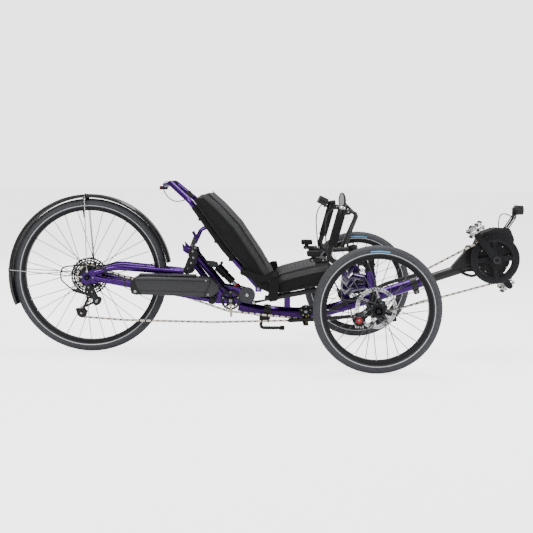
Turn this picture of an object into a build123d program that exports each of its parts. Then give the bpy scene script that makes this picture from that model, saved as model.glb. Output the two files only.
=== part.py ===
from build123d import *

import math
import os

# A folding recumbent tadpole trike: two steered front wheels, one driven rear wheel on a sprung
# swingarm, a mid motor on a sliding boom, a battery beside the swingarm and a reclined mesh seat.
# Millimetres, +X forward, +Y to the rider's left, +Z up, ground at z = 0.
# Every station below is measured from the front axle; FRONT_AXLE_X centres the whole trike.

# Driving dimensions
WHEELBASE = 1150.0
TRACK = 794.0
FRONT_AXLE_X = 411.55
FRONT_R = 243.0
FRONT_RIM_R = 209.0
REAR_R = 319.5
REAR_RIM_R = 287.5
TYRE_WIDTH = 40.0
REAR_X = -WHEELBASE
CASTER = math.radians(9.4)
KINGPIN_Y = 325.0
WHEEL_Y = TRACK / 2
ROTOR_Y = 352.0
TIE_X, TIE_Y, TIE_Z = 70.0, KINGPIN_Y, 213.0
ROTOR_R = 80.0
GRIP_Y = 290.0
CRANK_X, CRANK_Z = 518.0, 405.0
CRANK_LENGTH = 165.0
CRANK_ANGLE = 129.5
CHAINLINE = 60.0
LAMP_X, LAMP_Z = 606.0, 578.0
CHAIN_R = 95.0
BOOM_SLOPE = math.radians(18.4)
BOOM_Z0 = 229.0
SPINE_R = 24.0
BOOM_R = 20.0
FOLD_X, FOLD_Z = -496.0, 251.0
PIVOT_X, PIVOT_Z = -639.0, 230.0
SPROCKET_X, SPROCKET_Y, SPROCKET_Z, SPROCKET_R = -564.0, -58.0, 227.0, 44.0
IDLER_X, IDLER_Z, IDLER_R = -254.0, 183.0, 30.0
SEAT_HINGE_X, SEAT_HINGE_Z = -383.0, 352.0
SEAT_RAIL_Y = 150.0
SEAT_HALF = 190.0
STRUT_Y = 24.0
SHOCK_TOP = (-630.0, 369.0)
SHOCK_LOW = (-523.0, 263.0)
STAND_X, STAND_Z = -437.0, 147.0
CAGE_X, CAGE_Z = -1112.0, 222.0
JOCKEY_UP = (-1150.0, 239.0)
JOCKEY_LOW = (-1182.0, 167.0)
JOCKEY_R = 14.5
CHAIN_Y = 42.8
MIRROR_FOOT = (-72.0, 345.0, 424.0)
RUN_GAP = 0.05
SPOKE_R = 1.0
TUBE_R = 13.0

SIDES = {"right": -1, "left": 1}


# Shared shapes

def side_plane(x, y, z):
    """A plane facing the rider's right, local x forward and local y up."""
    return Plane(origin=(x, y, z), x_dir=(1, 0, 0), z_dir=(0, -1, 0))


def disc(x, y, z, radius, width):
    """A round slab about a cross axis, centred on y."""
    return extrude(side_plane(x, y, z) * Circle(radius), amount=width / 2, both=True)


def ring(x, y, z, outer, inner, width):
    return disc(x, y, z, outer, width) - disc(x, y, z, inner, width + 2)


def rod(start, end, radius):
    start = Vector(*start)
    along = Vector(*end) - start
    return extrude(Plane(origin=start, z_dir=along) * Circle(radius), amount=along.length)


def sleeve(start, end, outer, inner):
    """A tube open at both ends."""
    whole = rod(start, end, outer)
    direction = (Vector(*end) - Vector(*start)).normalized()
    first = Vector(*start) - direction
    last = Vector(*end) + direction
    return whole - rod(tuple(first), tuple(last), inner)


def bent_tube(points, radius, bend):
    """A solid round bar along straight runs joined by arcs of the given bend radius."""
    path = FilletPolyline(*points, radius=bend)
    start = Plane(origin=path @ 0, z_dir=path % 0)
    return sweep(start * Circle(radius), path=path)


def plate(outline, y, thickness, corner=0.0):
    """A flat side plate from (x, z) corners, centred on y."""
    sheet = side_plane(0, y, 0) * make_face(Polyline(*outline, close=True))
    if corner:
        sheet = fillet(sheet.vertices(), corner)
    return extrude(sheet, amount=thickness / 2, both=True)


def block(x_range, y_range, z_range, corner=0.0):
    size = [high - low for low, high in (x_range, y_range, z_range)]
    middle = [(high + low) / 2 for low, high in (x_range, y_range, z_range)]
    solid = Pos(*middle) * Box(*size)
    return fillet(solid.edges(), corner) if corner else solid


def polar(x, z, radius, angle):
    """A point (x, z) at an angle in degrees from +X towards +Z."""
    turn = math.radians(angle)
    return x + radius * math.cos(turn), z + radius * math.sin(turn)


def group(*solids):
    """Separate solids kept in one node."""
    flat = []
    for item in solids:
        flat.extend(item.solids())
    return Compound(children=flat)


def boom_point(x, rise=0.0):
    """A point (x, z) on the boom line, or square above it."""
    return x - rise * math.sin(BOOM_SLOPE), BOOM_Z0 + x * math.tan(BOOM_SLOPE) + rise * math.cos(BOOM_SLOPE)


def tie_point(reach, side):
    """A point on the axis of a track-rod joint, parallel to the kingpin."""
    return TIE_X - reach * math.sin(CASTER), side * TIE_Y, TIE_Z + reach * math.cos(CASTER)


def kingpin_point(height, side):
    """A point on a kingpin axis at a height above the ground."""
    return -(height - FRONT_R) * math.tan(CASTER), side * KINGPIN_Y, height


# Wheels

def tyre(x, y, z, radius, rim_radius):
    """A hollow round casing that sits on the rim."""
    section = TYRE_WIDTH / 2
    centre = Pos(x, y, z) * Rot(90, 0, 0)
    casing = centre * Torus(radius - section, section)
    hollow = centre * Torus(radius - section, section - 4)
    return casing - hollow - disc(x, y, z, rim_radius, 2 * TYRE_WIDTH)


def rim(x, y, z, radius, depth=17.0, width=25.0):
    well = ring(x, y, z, radius + 1, radius - 8, width - 6)
    return ring(x, y, z, radius, radius - depth, width) - well


def spokes(x, y, z, rim_radius, hub_radius, flanges, count, lead):
    """Crossed spokes from two hub flanges to the rim, lead degrees ahead at the hub."""
    made = []
    for index in range(count):
        flange = flanges[index % 2]
        way = 1 if (index // 2) % 2 else -1
        at_rim = 360.0 * index / count
        outer = polar(x, z, rim_radius, at_rim)
        inner = polar(x, z, hub_radius, at_rim + way * lead)
        start = (inner[0], y + flange + way * 2.2, inner[1])
        end = (outer[0], y + math.copysign(3.0, flange), outer[1])
        made.append(rod(start, end, SPOKE_R))
    return made


def front_hub(side):
    """Hub shell with two spoke flanges and a carrier that reaches in to the rotor."""
    outer, inner = WHEEL_Y + 30, ROTOR_Y + 1
    shell = disc(0, side * (outer + inner) / 2, FRONT_R, 17, outer - inner)
    for flange in (-24, 24):
        shell += disc(0, side * WHEEL_Y + flange, FRONT_R, 28, 4)
    shell += disc(0, side * (inner + 3), FRONT_R, 24, 6)
    return shell - disc(0, side * (outer + inner) / 2, FRONT_R, 10 + RUN_GAP, 110)


def front_wheel(side):
    y = side * WHEEL_Y
    laced = spokes(0, y, FRONT_R, FRONT_RIM_R - 16.5, 25.5, (-24, 24), 28, 52)
    return group(rim(0, y, FRONT_R, FRONT_RIM_R), front_hub(side), *laced)


def brake_rotor(side):
    y = side * ROTOR_Y
    blank = ring(0, y, FRONT_R, ROTOR_R, ROTOR_R - 15, 2)
    for index in range(6):
        inner = polar(0, FRONT_R, 22, 60 * index)
        outer = polar(0, FRONT_R, ROTOR_R - 12, 60 * index + 28)
        across = Vector(outer[0] - inner[0], 0, outer[1] - inner[1])
        arm_plane = Plane(
            origin=((inner[0] + outer[0]) / 2, y, (inner[1] + outer[1]) / 2),
            x_dir=across,
            z_dir=(0, -1, 0),
        )
        blank += arm_plane * Box(across.length, 9, 2)
    blank += ring(0, y, FRONT_R, 27, 15, 2)
    return blank


def rear_hub():
    y0, y1 = -22.0, 62.0
    shell = disc(REAR_X, (y0 + y1) / 2, REAR_R, 18, y1 - y0)
    for flange in (-19, 41):
        shell += disc(REAR_X, flange, REAR_R, 29, 4)
    return shell - disc(REAR_X, 20, REAR_R, 6 + RUN_GAP, 120)


def rear_wheel():
    laced = spokes(REAR_X, 0, REAR_R, REAR_RIM_R - 16.5, 26.5, (-19, 41), 32, 58)
    return group(rim(REAR_X, 0, REAR_R, REAR_RIM_R), rear_hub(), *laced)


def cassette():
    """Nine sprockets on one carrier, the largest nearest the wheel."""
    radii = (80, 70, 60, 52, 45, 40, 35, 30, 26)
    body = disc(REAR_X, -44, REAR_R, 18, 41)
    for index, radius in enumerate(radii):
        body += disc(REAR_X, -26 - 4.2 * index, REAR_R, radius, 2.2)
    return body - disc(REAR_X, -44, REAR_R, 6 + RUN_GAP, 60)


# Main frame

def spine():
    front = boom_point(229)
    knee = boom_point(-60)
    points = [
        (-532, 0, 199), (-449, 0, 176), (-289, 0, 167), (-190, 0, 172),
        (knee[0], 0, knee[1]), (front[0], 0, front[1]),
    ]
    tube = bent_tube(points, SPINE_R, [160, 260, 200, 260])
    inner = boom_point(-20)
    nose = boom_point(260)
    return tube - rod((inner[0], 0, inner[1]), (nose[0], 0, nose[1]), BOOM_R + RUN_GAP)


def head_tube(side):
    return sleeve(kingpin_point(313.5, side), kingpin_point(386, side), 18, 12.6)


def cross_tube(heights, centre, spread, radius):
    """One cross tube from head tube to head tube, arched over the spine."""
    points = []
    for side in (-1, 1):
        x, y, z = kingpin_point(heights[0], side)
        ends = [(x - 14, y - side * 8, z), (-68, side * 210, heights[1]), (centre[0], side * spread, centre[1])]
        points.extend(ends if side < 0 else reversed(ends))
    return bent_tube(points, radius, [90, 70, 70, 90])


def hinge_lug():
    """The centre plate and barrel that the rear half folds about."""
    web = plate([(-524, 190), (-478, 180), (-482, 252), (-510, 252)], 0, 30)
    barrel = disc(FOLD_X, 0, FOLD_Z, 14, 60)
    return web + barrel - disc(FOLD_X, 0, FOLD_Z, 8 + RUN_GAP, 80)


def seat_posts():
    """Two posts on the spine that carry the seat base."""
    rest = block((-343, -317), (-13, 13), (176, 249.6))
    front = plate([(-215, 176), (-165, 182), (-182, 274), (-208, 274)], 0, 24)
    return rest + front


def main_frame():
    frame = spine()
    frame += hinge_lug()
    frame += seat_posts()
    frame += plate([(-104, 205), (-66, 215), (-72, 312), (-98, 312)], 0, 12)
    for side in SIDES.values():
        frame += head_tube(side)
    frame += cross_tube((352, 350), (-85, 302), 95, TUBE_R)
    frame += cross_tube((325, 303), (-87, 266), 90, TUBE_R)
    for side in SIDES.values():
        lower, upper = kingpin_point(310, side), kingpin_point(390, side)
        frame -= rod(lower, upper, 12.6)
    return frame


def boom_clamp():
    start, end = boom_point(186), boom_point(212)
    collar = sleeve((start[0], 0, start[1]), (end[0], 0, end[1]), SPINE_R + 4.5, SPINE_R)
    ear = boom_point(199, -SPINE_R - 10)
    lug = Pos(ear[0], 0, ear[1]) * Rot(0, -18.4, 0) * Box(22, 24, 20)
    lug -= disc(ear[0], 0, ear[1] - 3, 3.2, 40)
    hole_start, hole_end = boom_point(170), boom_point(230)
    return collar + (lug - rod((hole_start[0], 0, hole_start[1]), (hole_end[0], 0, hole_end[1]), SPINE_R))


def stand_clamp():
    """Clamp round the spine with the ear that the stand turns on."""
    start, end = (-428, 0, 174.5), (-398, 0, 172.2)
    collar = sleeve(start, end, SPINE_R + 5, SPINE_R - 1)
    ear = block((-446, -404), (-46, -38), (134, 160))
    arm = block((-428, -400), (-42, -24), (146, 162))
    clamp = (collar + ear + arm) - spine()
    return clamp - disc(STAND_X, -42, STAND_Z, 4 + RUN_GAP, 20)


def stand_leg():
    """The fold-down stand: a pin, a short drop and a foot bar with an end cap."""
    pin = disc(STAND_X, -44, STAND_Z, 4, 14)
    head = disc(STAND_X, -55, STAND_Z, 9, 8)
    points = [(STAND_X, -56, STAND_Z + 2), (STAND_X - 2, -56, 113), (-352, -56, 113)]
    bar = bent_tube(points, 6, 10)
    return pin + head + bar + rod((-356, -56, 113), (-342, -56, 113), 8)


def fold_latch():
    """Cam lever that locks the fold."""
    pivot = disc(-470, -21, 214, 5, 12)
    cam = disc(-470, -29.5, 214, 10, 7)
    handle = plate([(-470, 221), (-470, 209), (-412, 222), (-410, 229)], -29.5, 6, 2)
    return pivot + cam + handle


def front_idler():
    wheel = disc(IDLER_X, -52, IDLER_Z, IDLER_R, 5) + disc(IDLER_X, -60.5, IDLER_Z, IDLER_R - 3, 3)
    wheel += disc(IDLER_X, -54, IDLER_Z, 12, 16)
    for index in range(5):
        hole = polar(IDLER_X, IDLER_Z, 19, 72 * index + 18)
        wheel += disc(hole[0], -62.5, hole[1], 3, 3)
    return wheel - disc(IDLER_X, -54, IDLER_Z, 5 + RUN_GAP, 40)


def idler_bracket():
    """Axle of the front idler and the keeper that holds the return tube."""
    axle = rod((IDLER_X, -12, IDLER_Z), (IDLER_X, -68, IDLER_Z), 5)
    washer = disc(IDLER_X, -66, IDLER_Z, 8, 4)
    strap = plate([(-266, 192), (-242, 192), (-242, 128), (-266, 128)], -34, 6, 4)
    foot = block((-265, -243), (-90, -31), (128, 136), 2)
    return (axle + washer + strap + foot) - spine()


def chain_tubes():
    """Plastic tubes round the power run and the return run."""
    power = [(-222, -50, 156.6), (78, -50, 301), (198, -52, 338)]
    back = [(-326, -76, 147), (-219, -76, 153), (-40, -72, 168), (60, -68, 181)]
    tubes = []
    for points, bends in ((power, [200]), (back, [300, 300])):
        outer = bent_tube(points, 8, bends)
        bore = bent_tube(points, 5.5, bends)
        tubes.append(outer - bore)
    return group(*tubes)


# Boom, motor, lamp and cranks

def boom():
    start, end = boom_point(25), boom_point(440)
    tube = rod((start[0], 0, start[1]), (end[0], 0, end[1]), BOOM_R)
    flare = plate([(350, 364), (402, 426), (414, 457), (446, 457), (446, 352), (400, 346)], 0, 34, 4)
    return tube + flare


def motor_housing():
    outline = [
        (447, 344), (447, 462), (470, 512), (520, 530), (584, 526),
        (600, 488), (594, 420), (566, 352), (520, 330),
    ]
    shell = plate(outline, 0, 84, 9)
    return shell - disc(CRANK_X, 0, CRANK_Z, 12 + RUN_GAP, 120)


def motor_covers():
    """Round side covers, one each side of the motor casing."""
    right = ring(CRANK_X, -45.5, CRANK_Z, 66, 14, 7)
    left = ring(CRANK_X, 46, CRANK_Z, 60, 14, 8)
    return group(right, left)


def headlight_bracket():
    arm = [(566, 524), (582, 524), (588, 552), (612, 570), (614, 580), (608, 585), (600, 584), (574, 560)]
    cheeks = group(plate(arm, -13, 3, 1.5), plate(arm, 13, 3, 1.5))
    bridge = block((568, 580), (-14.5, 14.5), (525, 533))
    solid = bridge
    for cheek in cheeks.solids():
        solid += cheek
    solid += rod((LAMP_X, -18, LAMP_Z), (LAMP_X, 18, LAMP_Z), 3)
    return solid - motor_housing()


def headlight():
    body = rod((604, 0, 605), (641, 0, 605), 19)
    body += rod((600, 0, 605), (605, 0, 605), 13)
    for index in range(3):
        fin = 608 + 6 * index
        body += rod((fin, 0, 605), (fin + 2.5, 0, 605), 21)
    body += plate([(599, 571), (613, 571), (613, 596), (599, 596)], 0, 20, 3)
    body -= disc(LAMP_X, 0, LAMP_Z, 3 + RUN_GAP, 60)
    lens_seat = rod((636, 0, 605), (645, 0, 605), 16)
    return body - lens_seat


def headlight_lens():
    return rod((636.2, 0, 605), (643, 0, 605), 15.8)


def crank_arm(side):
    way = -side
    x, z = polar(CRANK_X, CRANK_Z, way * CRANK_LENGTH, CRANK_ANGLE)
    y = side * 91
    along = Vector(x - CRANK_X, 0, z - CRANK_Z).normalized()
    across = Vector(-along.Z, 0, along.X)
    corners = []
    for end, half in ((0, 16), (1, 13)):
        centre = Vector(CRANK_X, 0, CRANK_Z) + along * (CRANK_LENGTH * end)
        corners.append((centre - across * half, centre + across * half))
    outline = [corners[0][0], corners[0][1], corners[1][1], corners[1][0]]
    arm = plate([(p.X, p.Z) for p in outline], y, 13)
    arm += disc(CRANK_X, y, CRANK_Z, 18, 15)
    arm += disc(x, y, z, 13, 14)
    arm += rod((x, y, z), (x, side * 198, z), 5)
    return arm


def crankset():
    """Spindle with both arms and their pedal axles."""
    spindle = rod((CRANK_X, -96, CRANK_Z), (CRANK_X, 96, CRANK_Z), 12)
    return spindle + crank_arm(-1) + crank_arm(1)


def chainring():
    """Toothed ring on a four-arm spider, with a guard ring outside it."""
    wheel = ring(CRANK_X, -CHAINLINE, CRANK_Z, CHAIN_R - 4, CHAIN_R - 20, 4)
    for index in range(4):
        tip = polar(CRANK_X, CRANK_Z, CHAIN_R - 12, 90 * index + 40)
        wheel += rod((CRANK_X, -64, CRANK_Z), (tip[0], -64, tip[1]), 8)
    wheel += ring(CRANK_X, -69.5, CRANK_Z, 99, 76, 3)
    wheel += disc(CRANK_X, -70, CRANK_Z, 26, 26)
    for index in range(4):
        bolt = polar(CRANK_X, CRANK_Z, CHAIN_R - 14, 90 * index + 40)
        wheel += rod((bolt[0], -58, bolt[1]), (bolt[0], -73, bolt[1]), 5)
    return wheel - disc(CRANK_X, -70, CRANK_Z, 12, 60)


def pedal(side):
    way = -side
    x, z = polar(CRANK_X, CRANK_Z, way * CRANK_LENGTH, CRANK_ANGLE)
    y = side * 150
    lean = Pos(x, y, z) * Rot(0, -35, 0)
    body = lean * Box(58, 76, 22)
    clips = lean * (Box(66, 56, 36) - Box(40, 60, 40))
    return body + clips - disc(x, y, z, 5 + RUN_GAP, 120)


# Rear half: tower, swingarm, battery, guard, shock and gears

def tower():
    """Rear half of the main frame: cheeks from the fold hinge to the swingarm pivot, and the tower."""
    outline = [(-480, 262), (-484, 238), (-530, 208), (-622, 210), (-662, 224), (-650, 250), (-600, 286), (-520, 276)]
    frame = None
    for side in SIDES.values():
        cheek = plate(outline, side * 38, 6, 6)
        lean = rod((-588, side * 40, 262), (-722, side * 40, 428), TUBE_R)
        brace = rod((-622, side * 40, 246), (-716, side * 40, 372), 9)
        foot = rod((-716, side * 40, 372), (-702, side * 40, 403), 9)
        part = cheek + lean + brace + foot
        frame = part if frame is None else frame + part
    frame += rod((-722, -58, 428), (-722, 58, 428), 12)
    frame += rod((-566, -38, 236), (-566, 38, 236), 7)
    return frame - disc(PIVOT_X, 0, PIVOT_Z, 9, 120) - disc(FOLD_X, 0, FOLD_Z, 8, 120)


def frame_pins():
    """Fold pin, swingarm pin and lower shock pin, all held by the tower."""
    fold = rod((FOLD_X, -66, FOLD_Z), (FOLD_X, 46, FOLD_Z), 8)
    swing = rod((PIVOT_X, -87.5, PIVOT_Z), (PIVOT_X, 76, PIVOT_Z), 9)
    swing += rod((PIVOT_X, -87.5, PIVOT_Z), (PIVOT_X, -80.5, PIVOT_Z), 13)
    shock = rod((SHOCK_LOW[0], -35, SHOCK_LOW[1]), (SHOCK_LOW[0], 35, SHOCK_LOW[1]), 4.9)
    shaft = rod((SPROCKET_X, -41, SPROCKET_Z), (SPROCKET_X, -68, SPROCKET_Z), 6)
    return group(fold, swing, shock, shaft)


def hinge_pulley():
    """Plain black disc on the end of the fold pin."""
    wheel = disc(FOLD_X, -74, FOLD_Z, 33, 8)
    hub = disc(FOLD_X, -68, FOLD_Z, 14, 4)
    return wheel + hub + disc(FOLD_X, -79, FOLD_Z, 8, 2)


def pivot_sprocket():
    wheel = ring(SPROCKET_X, SPROCKET_Y, SPROCKET_Z, SPROCKET_R, SPROCKET_R - 10, 4)
    for index in range(5):
        tip = polar(SPROCKET_X, SPROCKET_Z, SPROCKET_R - 5, 72 * index + 20)
        wheel += rod((SPROCKET_X, SPROCKET_Y, SPROCKET_Z), (tip[0], SPROCKET_Y, tip[1]), 3.5)
    wheel += disc(SPROCKET_X, SPROCKET_Y - 1.5, SPROCKET_Z, 14, 11)
    return wheel - disc(SPROCKET_X, SPROCKET_Y, SPROCKET_Z, 6 + RUN_GAP, 40)


def swingarm():
    arm = sleeve((PIVOT_X, -72, PIVOT_Z), (PIVOT_X, 72, PIVOT_Z), 19, 9 + RUN_GAP)
    arm -= disc(PIVOT_X, 0, PIVOT_Z, 30, 96)
    for side in SIDES.values():
        low = bent_tube([(-1118, side * 75, 316), (-960, side * 71.5, 287), (-650, side * 67, 232)], 13, 600)
        high = bent_tube([(-1118, side * 76, 340), (-1040, side * 72, 362), (-760, side * 44, 338)], 12, 160)
        post = rod((-800, side * 64, 260), (-800, side * 49, 340), 10)
        drop_out = plate(
            [(-1172, 332), (-1176, 300), (-1150, 288), (-1104, 298), (-1092, 330), (-1098, 356), (-1130, 352)],
            side * 74, 8, 5,
        )
        arm = arm + low + high + post + drop_out
    arm += rod((-770, -52, 338), (-770, 52, 338), 12)
    arm -= disc(REAR_X, 0, REAR_R, 6, 200)
    arm -= disc(PIVOT_X, 0, PIVOT_Z, 9 + RUN_GAP, 200)
    hanger = plate([(-1160, 304), (-1136, 304), (-1132, 268), (-1152, 268)], -80, 4, 4)
    return arm + hanger


def rear_axle():
    bar = rod((REAR_X, -78, REAR_R), (REAR_X, 78, REAR_R), 6)
    for side in SIDES.values():
        bar += rod((REAR_X, side * 78, REAR_R), (REAR_X, side * 90, REAR_R), 11)
    return bar


def shock_bracket():
    """Cross plates standing on the swingarm bridge, with arms to the upper shock eye."""
    outline = [
        (-765, 340), (-752, 328), (-724, 334), (-704, 362), (-628, 358),
        (-619, 370), (-636, 382), (-700, 386), (-712, 396), (-744, 397),
    ]
    bracket = None
    for side in SIDES.values():
        sheet = plate(outline, side * 15, 5, 3)
        bracket = sheet if bracket is None else bracket + sheet
    bracket += rod((-732, -17, 388), (-732, 17, 388), 6)
    bracket += rod((-690, -17, 374), (-690, 17, 374), 5)
    bracket -= rod((-770, -60, 338), (-770, 60, 338), 12)
    return bracket + rod((SHOCK_TOP[0], -20, SHOCK_TOP[1]), (SHOCK_TOP[0], 20, SHOCK_TOP[1]), 4.95)


def battery():
    profile = [(-966, 272), (-950, 258), (-640, 250), (-612, 270), (-604, 298), (-634, 330), (-900, 338), (-940, 334), (-962, 312)]
    return plate(profile, -119, 62, 8)


def battery_mounts():
    """Two saddles that hold the battery on the swingarm."""
    saddles = []
    for x, z in ((-900, 278), (-700, 262)):
        saddles.append(block((x - 16, x + 16), (-87.9, -74), (z - 8, z + 14), 3) - swingarm())
    return saddles


def rear_fender():
    """Curved mudguard from ahead of the wheel to a flap low behind it."""
    first, sweep_angle = 10.0, 192.0
    outer, inner, half, skirt = 338.0, 335.0, 31.0, 14.0
    turn = math.radians(first)
    out = (math.cos(turn), 0, math.sin(turn))
    cut = Plane(origin=(REAR_X, 0, REAR_R), x_dir=out, z_dir=Vector(*out).cross(Vector(0, 1, 0)))
    section = [
        (outer - skirt, -half), (outer - 5, -half + 1), (outer, -half + 10), (outer, half - 10),
        (outer - 5, half - 1), (outer - skirt, half), (outer - skirt, half - 3), (inner - 5, half - 4),
        (inner, half - 12), (inner, -half + 12), (inner - 5, -half + 4), (outer - skirt, -half + 3),
    ]
    face = cut * make_face(Polyline(*section, close=True))
    return revolve(face, axis=Axis((REAR_X, 0, REAR_R), (0, -1, 0)), revolution_arc=sweep_angle)


def fender_stays():
    """Wire stays from the dropouts to the top and the back of the mudguard."""
    wires = []
    for side in SIDES.values():
        for angle in (93, 176):
            tip = polar(REAR_X, REAR_R, 324, angle)
            foot = polar(REAR_X, REAR_R, 24, angle)
            wires.append(rod((foot[0], side * 80.3, foot[1]), (tip[0], side * 35.3, tip[1]), 2))
    return group(*wires)


def derailleur_body():
    """Hanger knuckle, links, cage knuckle and cable barrel of the rear derailleur."""
    top = disc(-1142, -90, 280, 13, 10)
    links = plate([(-1150, 272), (-1128, 284), (-1100, 232), (-1116, 214)], -86, 8, 4)
    knuckle = disc(CAGE_X, -80, CAGE_Z, 17, 22)
    barrel = rod((-1208, -91, 270), (-1134, -88, 247), 6.5)
    return top + links + knuckle + barrel - disc(CAGE_X, -72, CAGE_Z, 5 + RUN_GAP, 34)


def derailleur_cage():
    """Two cage plates with the knuckle pin and the two jockey axles."""
    outline = [(CAGE_X + 8, CAGE_Z - 10), (CAGE_X + 4, CAGE_Z + 12), (-1146, 252), (-1164, 238), (-1196, 160), (-1172, 152)]
    outer = plate(outline, -CHAIN_Y - 9.5, 3, 4)
    inner = plate(outline, -CHAIN_Y + 8.5, 3, 4)
    pin = rod((CAGE_X, -51, CAGE_Z), (CAGE_X, -88, CAGE_Z), 5)
    boss = rod((CAGE_X, -52, CAGE_Z), (CAGE_X, -68.5, CAGE_Z), 12)
    cage = outer + inner + pin + boss
    for x, z in (JOCKEY_UP, JOCKEY_LOW):
        cage += rod((x, -CHAIN_Y + 9, z), (x, -CHAIN_Y - 10, z), 3)
    return cage


def jockey(centre):
    wheel = disc(centre[0], -CHAIN_Y, centre[1], JOCKEY_R, 4)
    wheel += disc(centre[0], -CHAIN_Y, centre[1], 8, 10)
    return wheel - disc(centre[0], -CHAIN_Y, centre[1], 3 + RUN_GAP, 30)


def shock_line(distance):
    """A point on the shock's axis, measured from its lower eye towards the upper one."""
    run_x, run_z = SHOCK_TOP[0] - SHOCK_LOW[0], SHOCK_TOP[1] - SHOCK_LOW[1]
    share = distance / math.hypot(run_x, run_z)
    return SHOCK_LOW[0] + run_x * share, 0, SHOCK_LOW[1] + run_z * share


def shock_can():
    can = rod(shock_line(90), shock_line(140), 19)
    can += rod(shock_line(48), shock_line(92), 15)
    can += disc(SHOCK_TOP[0], 0, SHOCK_TOP[1], 11, 22)
    can -= rod(shock_line(40), shock_line(122), 8 + RUN_GAP)
    return can - disc(SHOCK_TOP[0], 0, SHOCK_TOP[1], 4.95 + RUN_GAP, 40)


def shock_shaft():
    shaft = rod(shock_line(8), shock_line(100), 8)
    shaft += rod(shock_line(12), shock_line(26), 12)
    shaft += disc(SHOCK_LOW[0], 0, SHOCK_LOW[1], 11.5, 20)
    return shaft - disc(SHOCK_LOW[0], 0, SHOCK_LOW[1], 6, 40)


# Seat

BACK_REAR = ((-444.7, 289.3), (-587.1, 447.8), (-722.0, 634.0))
BASE_RAIL = ((-404.0, 249.0), (-206.0, 287.0), (-170.0, 290.0))


def rail(points, side, radius=11.0, bends=(30, 300)):
    return bent_tube([(x, side * SEAT_RAIL_Y, z) for x, z in points], radius, list(bends))


def seat_base_frame():
    """Two base rails with cross bars that sit on the seat posts."""
    frame = rod((-331, -SEAT_RAIL_Y, 262), (-331, SEAT_RAIL_Y, 262), 11)
    frame += rod((-196, -SEAT_RAIL_Y, 286), (-196, SEAT_RAIL_Y, 286), 11)
    ear = [(-412, 262), (-404, 240), (-372, 246), (-366, 340), (-372, 364), (-394, 364), (-400, 344)]
    for side in SIDES.values():
        frame += rail(((-424, 252),) + BASE_RAIL, side, bends=(60, 60))
        frame += plate(ear, side * 194, 5, 5)
        frame += rod((-394, side * SEAT_RAIL_Y, 251), (-394, side * 196.5, 251), 7)
        frame += rod((SEAT_HINGE_X, side * 190.2, SEAT_HINGE_Z), (SEAT_HINGE_X, side * 205, SEAT_HINGE_Z), 6)
    return frame


def seat_back_frame():
    """Back rails, hinge arms, the loop at the top and the cross bars."""
    frame = rod((-832, -62, 700), (-832, 62, 700), 10)
    frame += rod((-640, -SEAT_RAIL_Y, 521), (-640, SEAT_RAIL_Y, 521), 10)
    frame += rod((-500, -SEAT_RAIL_Y, 351), (-500, SEAT_RAIL_Y, 351), 10)
    arm = [(-512, 372), (-520, 350), (-440, 318), (-388, 338), (-370, 350), (-372, 366), (-392, 366), (-440, 344)]
    for side in SIDES.values():
        y = side * SEAT_RAIL_Y
        points = [(x, y, z) for x, z in BACK_REAR]
        points += [(-806, side * 98, 706), (-832, side * 56, 700)]
        frame += bent_tube(points, 11, [300, 60, 22])
        frame += block((-462, -436), sorted((side * 134, side * 166)), (276, 300), 4)
        frame += plate(arm, side * 200, 5, 4)
        frame += rod((-508, y, 360), (-508, side * 202.5, 360), 7)
    return frame - disc(SEAT_HINGE_X, 0, SEAT_HINGE_Z, 6 + RUN_GAP, 500)


def seat_back_cushion():
    outline = [
        (-433, 300), (-402, 277), (-390, 326), (-436, 412), (-528, 548),
        (-650, 672), (-690, 668), (-709, 640), (-575, 457),
    ]
    return plate(outline, 0, 2 * SEAT_HALF, 10)


def seat_base_cushion():
    outline = [(-381, 266), (-380, 336), (-364, 350), (-245, 382), (-172, 398), (-140, 388), (-134, 340), (-206, 301.5)]
    return plate(outline, 0, 2 * (SEAT_HALF - 2), 10)


def seat_strut():
    """Twin strut from the seat back to the top of the tower, with its quick-release lever."""
    strut = rod((-722, -30, 451), (-722, 30, 451), 5)
    for side in SIDES.values():
        y = side * STRUT_Y
        strut += bent_tube([(-648, y, 533), (-690, y, 514), (-716, y, 458)], 8, 22)
        strut += plate([(-704, 486), (-716, 490), (-734, 446), (-722, 441)], y, 6, 3)
    strut += rod((-706, -46, 478), (-706, 40, 478), 4)
    strut += plate([(-706, 470), (-698, 478), (-716, 512), (-726, 506)], -43, 6, 3)
    return strut - rod((-640, -60, 521), (-640, 60, 521), 10)


def tail_light():
    """Round lamp on a stem under the top loop."""
    lamp = rod((-862, 0, 686), (-828, 0, 686), 8)
    return lamp - rod((-832, -80, 700), (-832, 80, 700), 10)


# Steering

def knuckle(side):
    """Steerer, lower race, stub axle, steering arm and the brake caliper bolted to it."""
    low, high = kingpin_point(300, side), kingpin_point(428, side)
    solid = rod(low, high, 12.55)
    solid += rod(kingpin_point(300, side), kingpin_point(312.6, side), 17)
    solid += rod(kingpin_point(387, side), kingpin_point(398, side), 18)
    solid += rod(kingpin_point(226, side), kingpin_point(304, side), 15)
    solid += rod((0, side * (KINGPIN_Y - 8), FRONT_R), (0, side * 429, FRONT_R), 10)
    solid += rod((0, side * 427.6, FRONT_R), (0, side * 436, FRONT_R), 15)
    arm_root = kingpin_point(232, side)
    solid += bent_tube([arm_root, (40, side * TIE_Y, 216), (64, side * TIE_Y, 212)], 9, 40)
    solid += rod(tie_point(-8, side), tie_point(8, side), 11)
    mount = [(-8, 226), (4, 262), (-40, 236), (-76, 214), (-72, 196), (-40, 196)]
    solid += plate(mount, side * 336, 9, 4)
    return solid - rod(tie_point(-30, side), tie_point(30, side), 4 + RUN_GAP)


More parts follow.
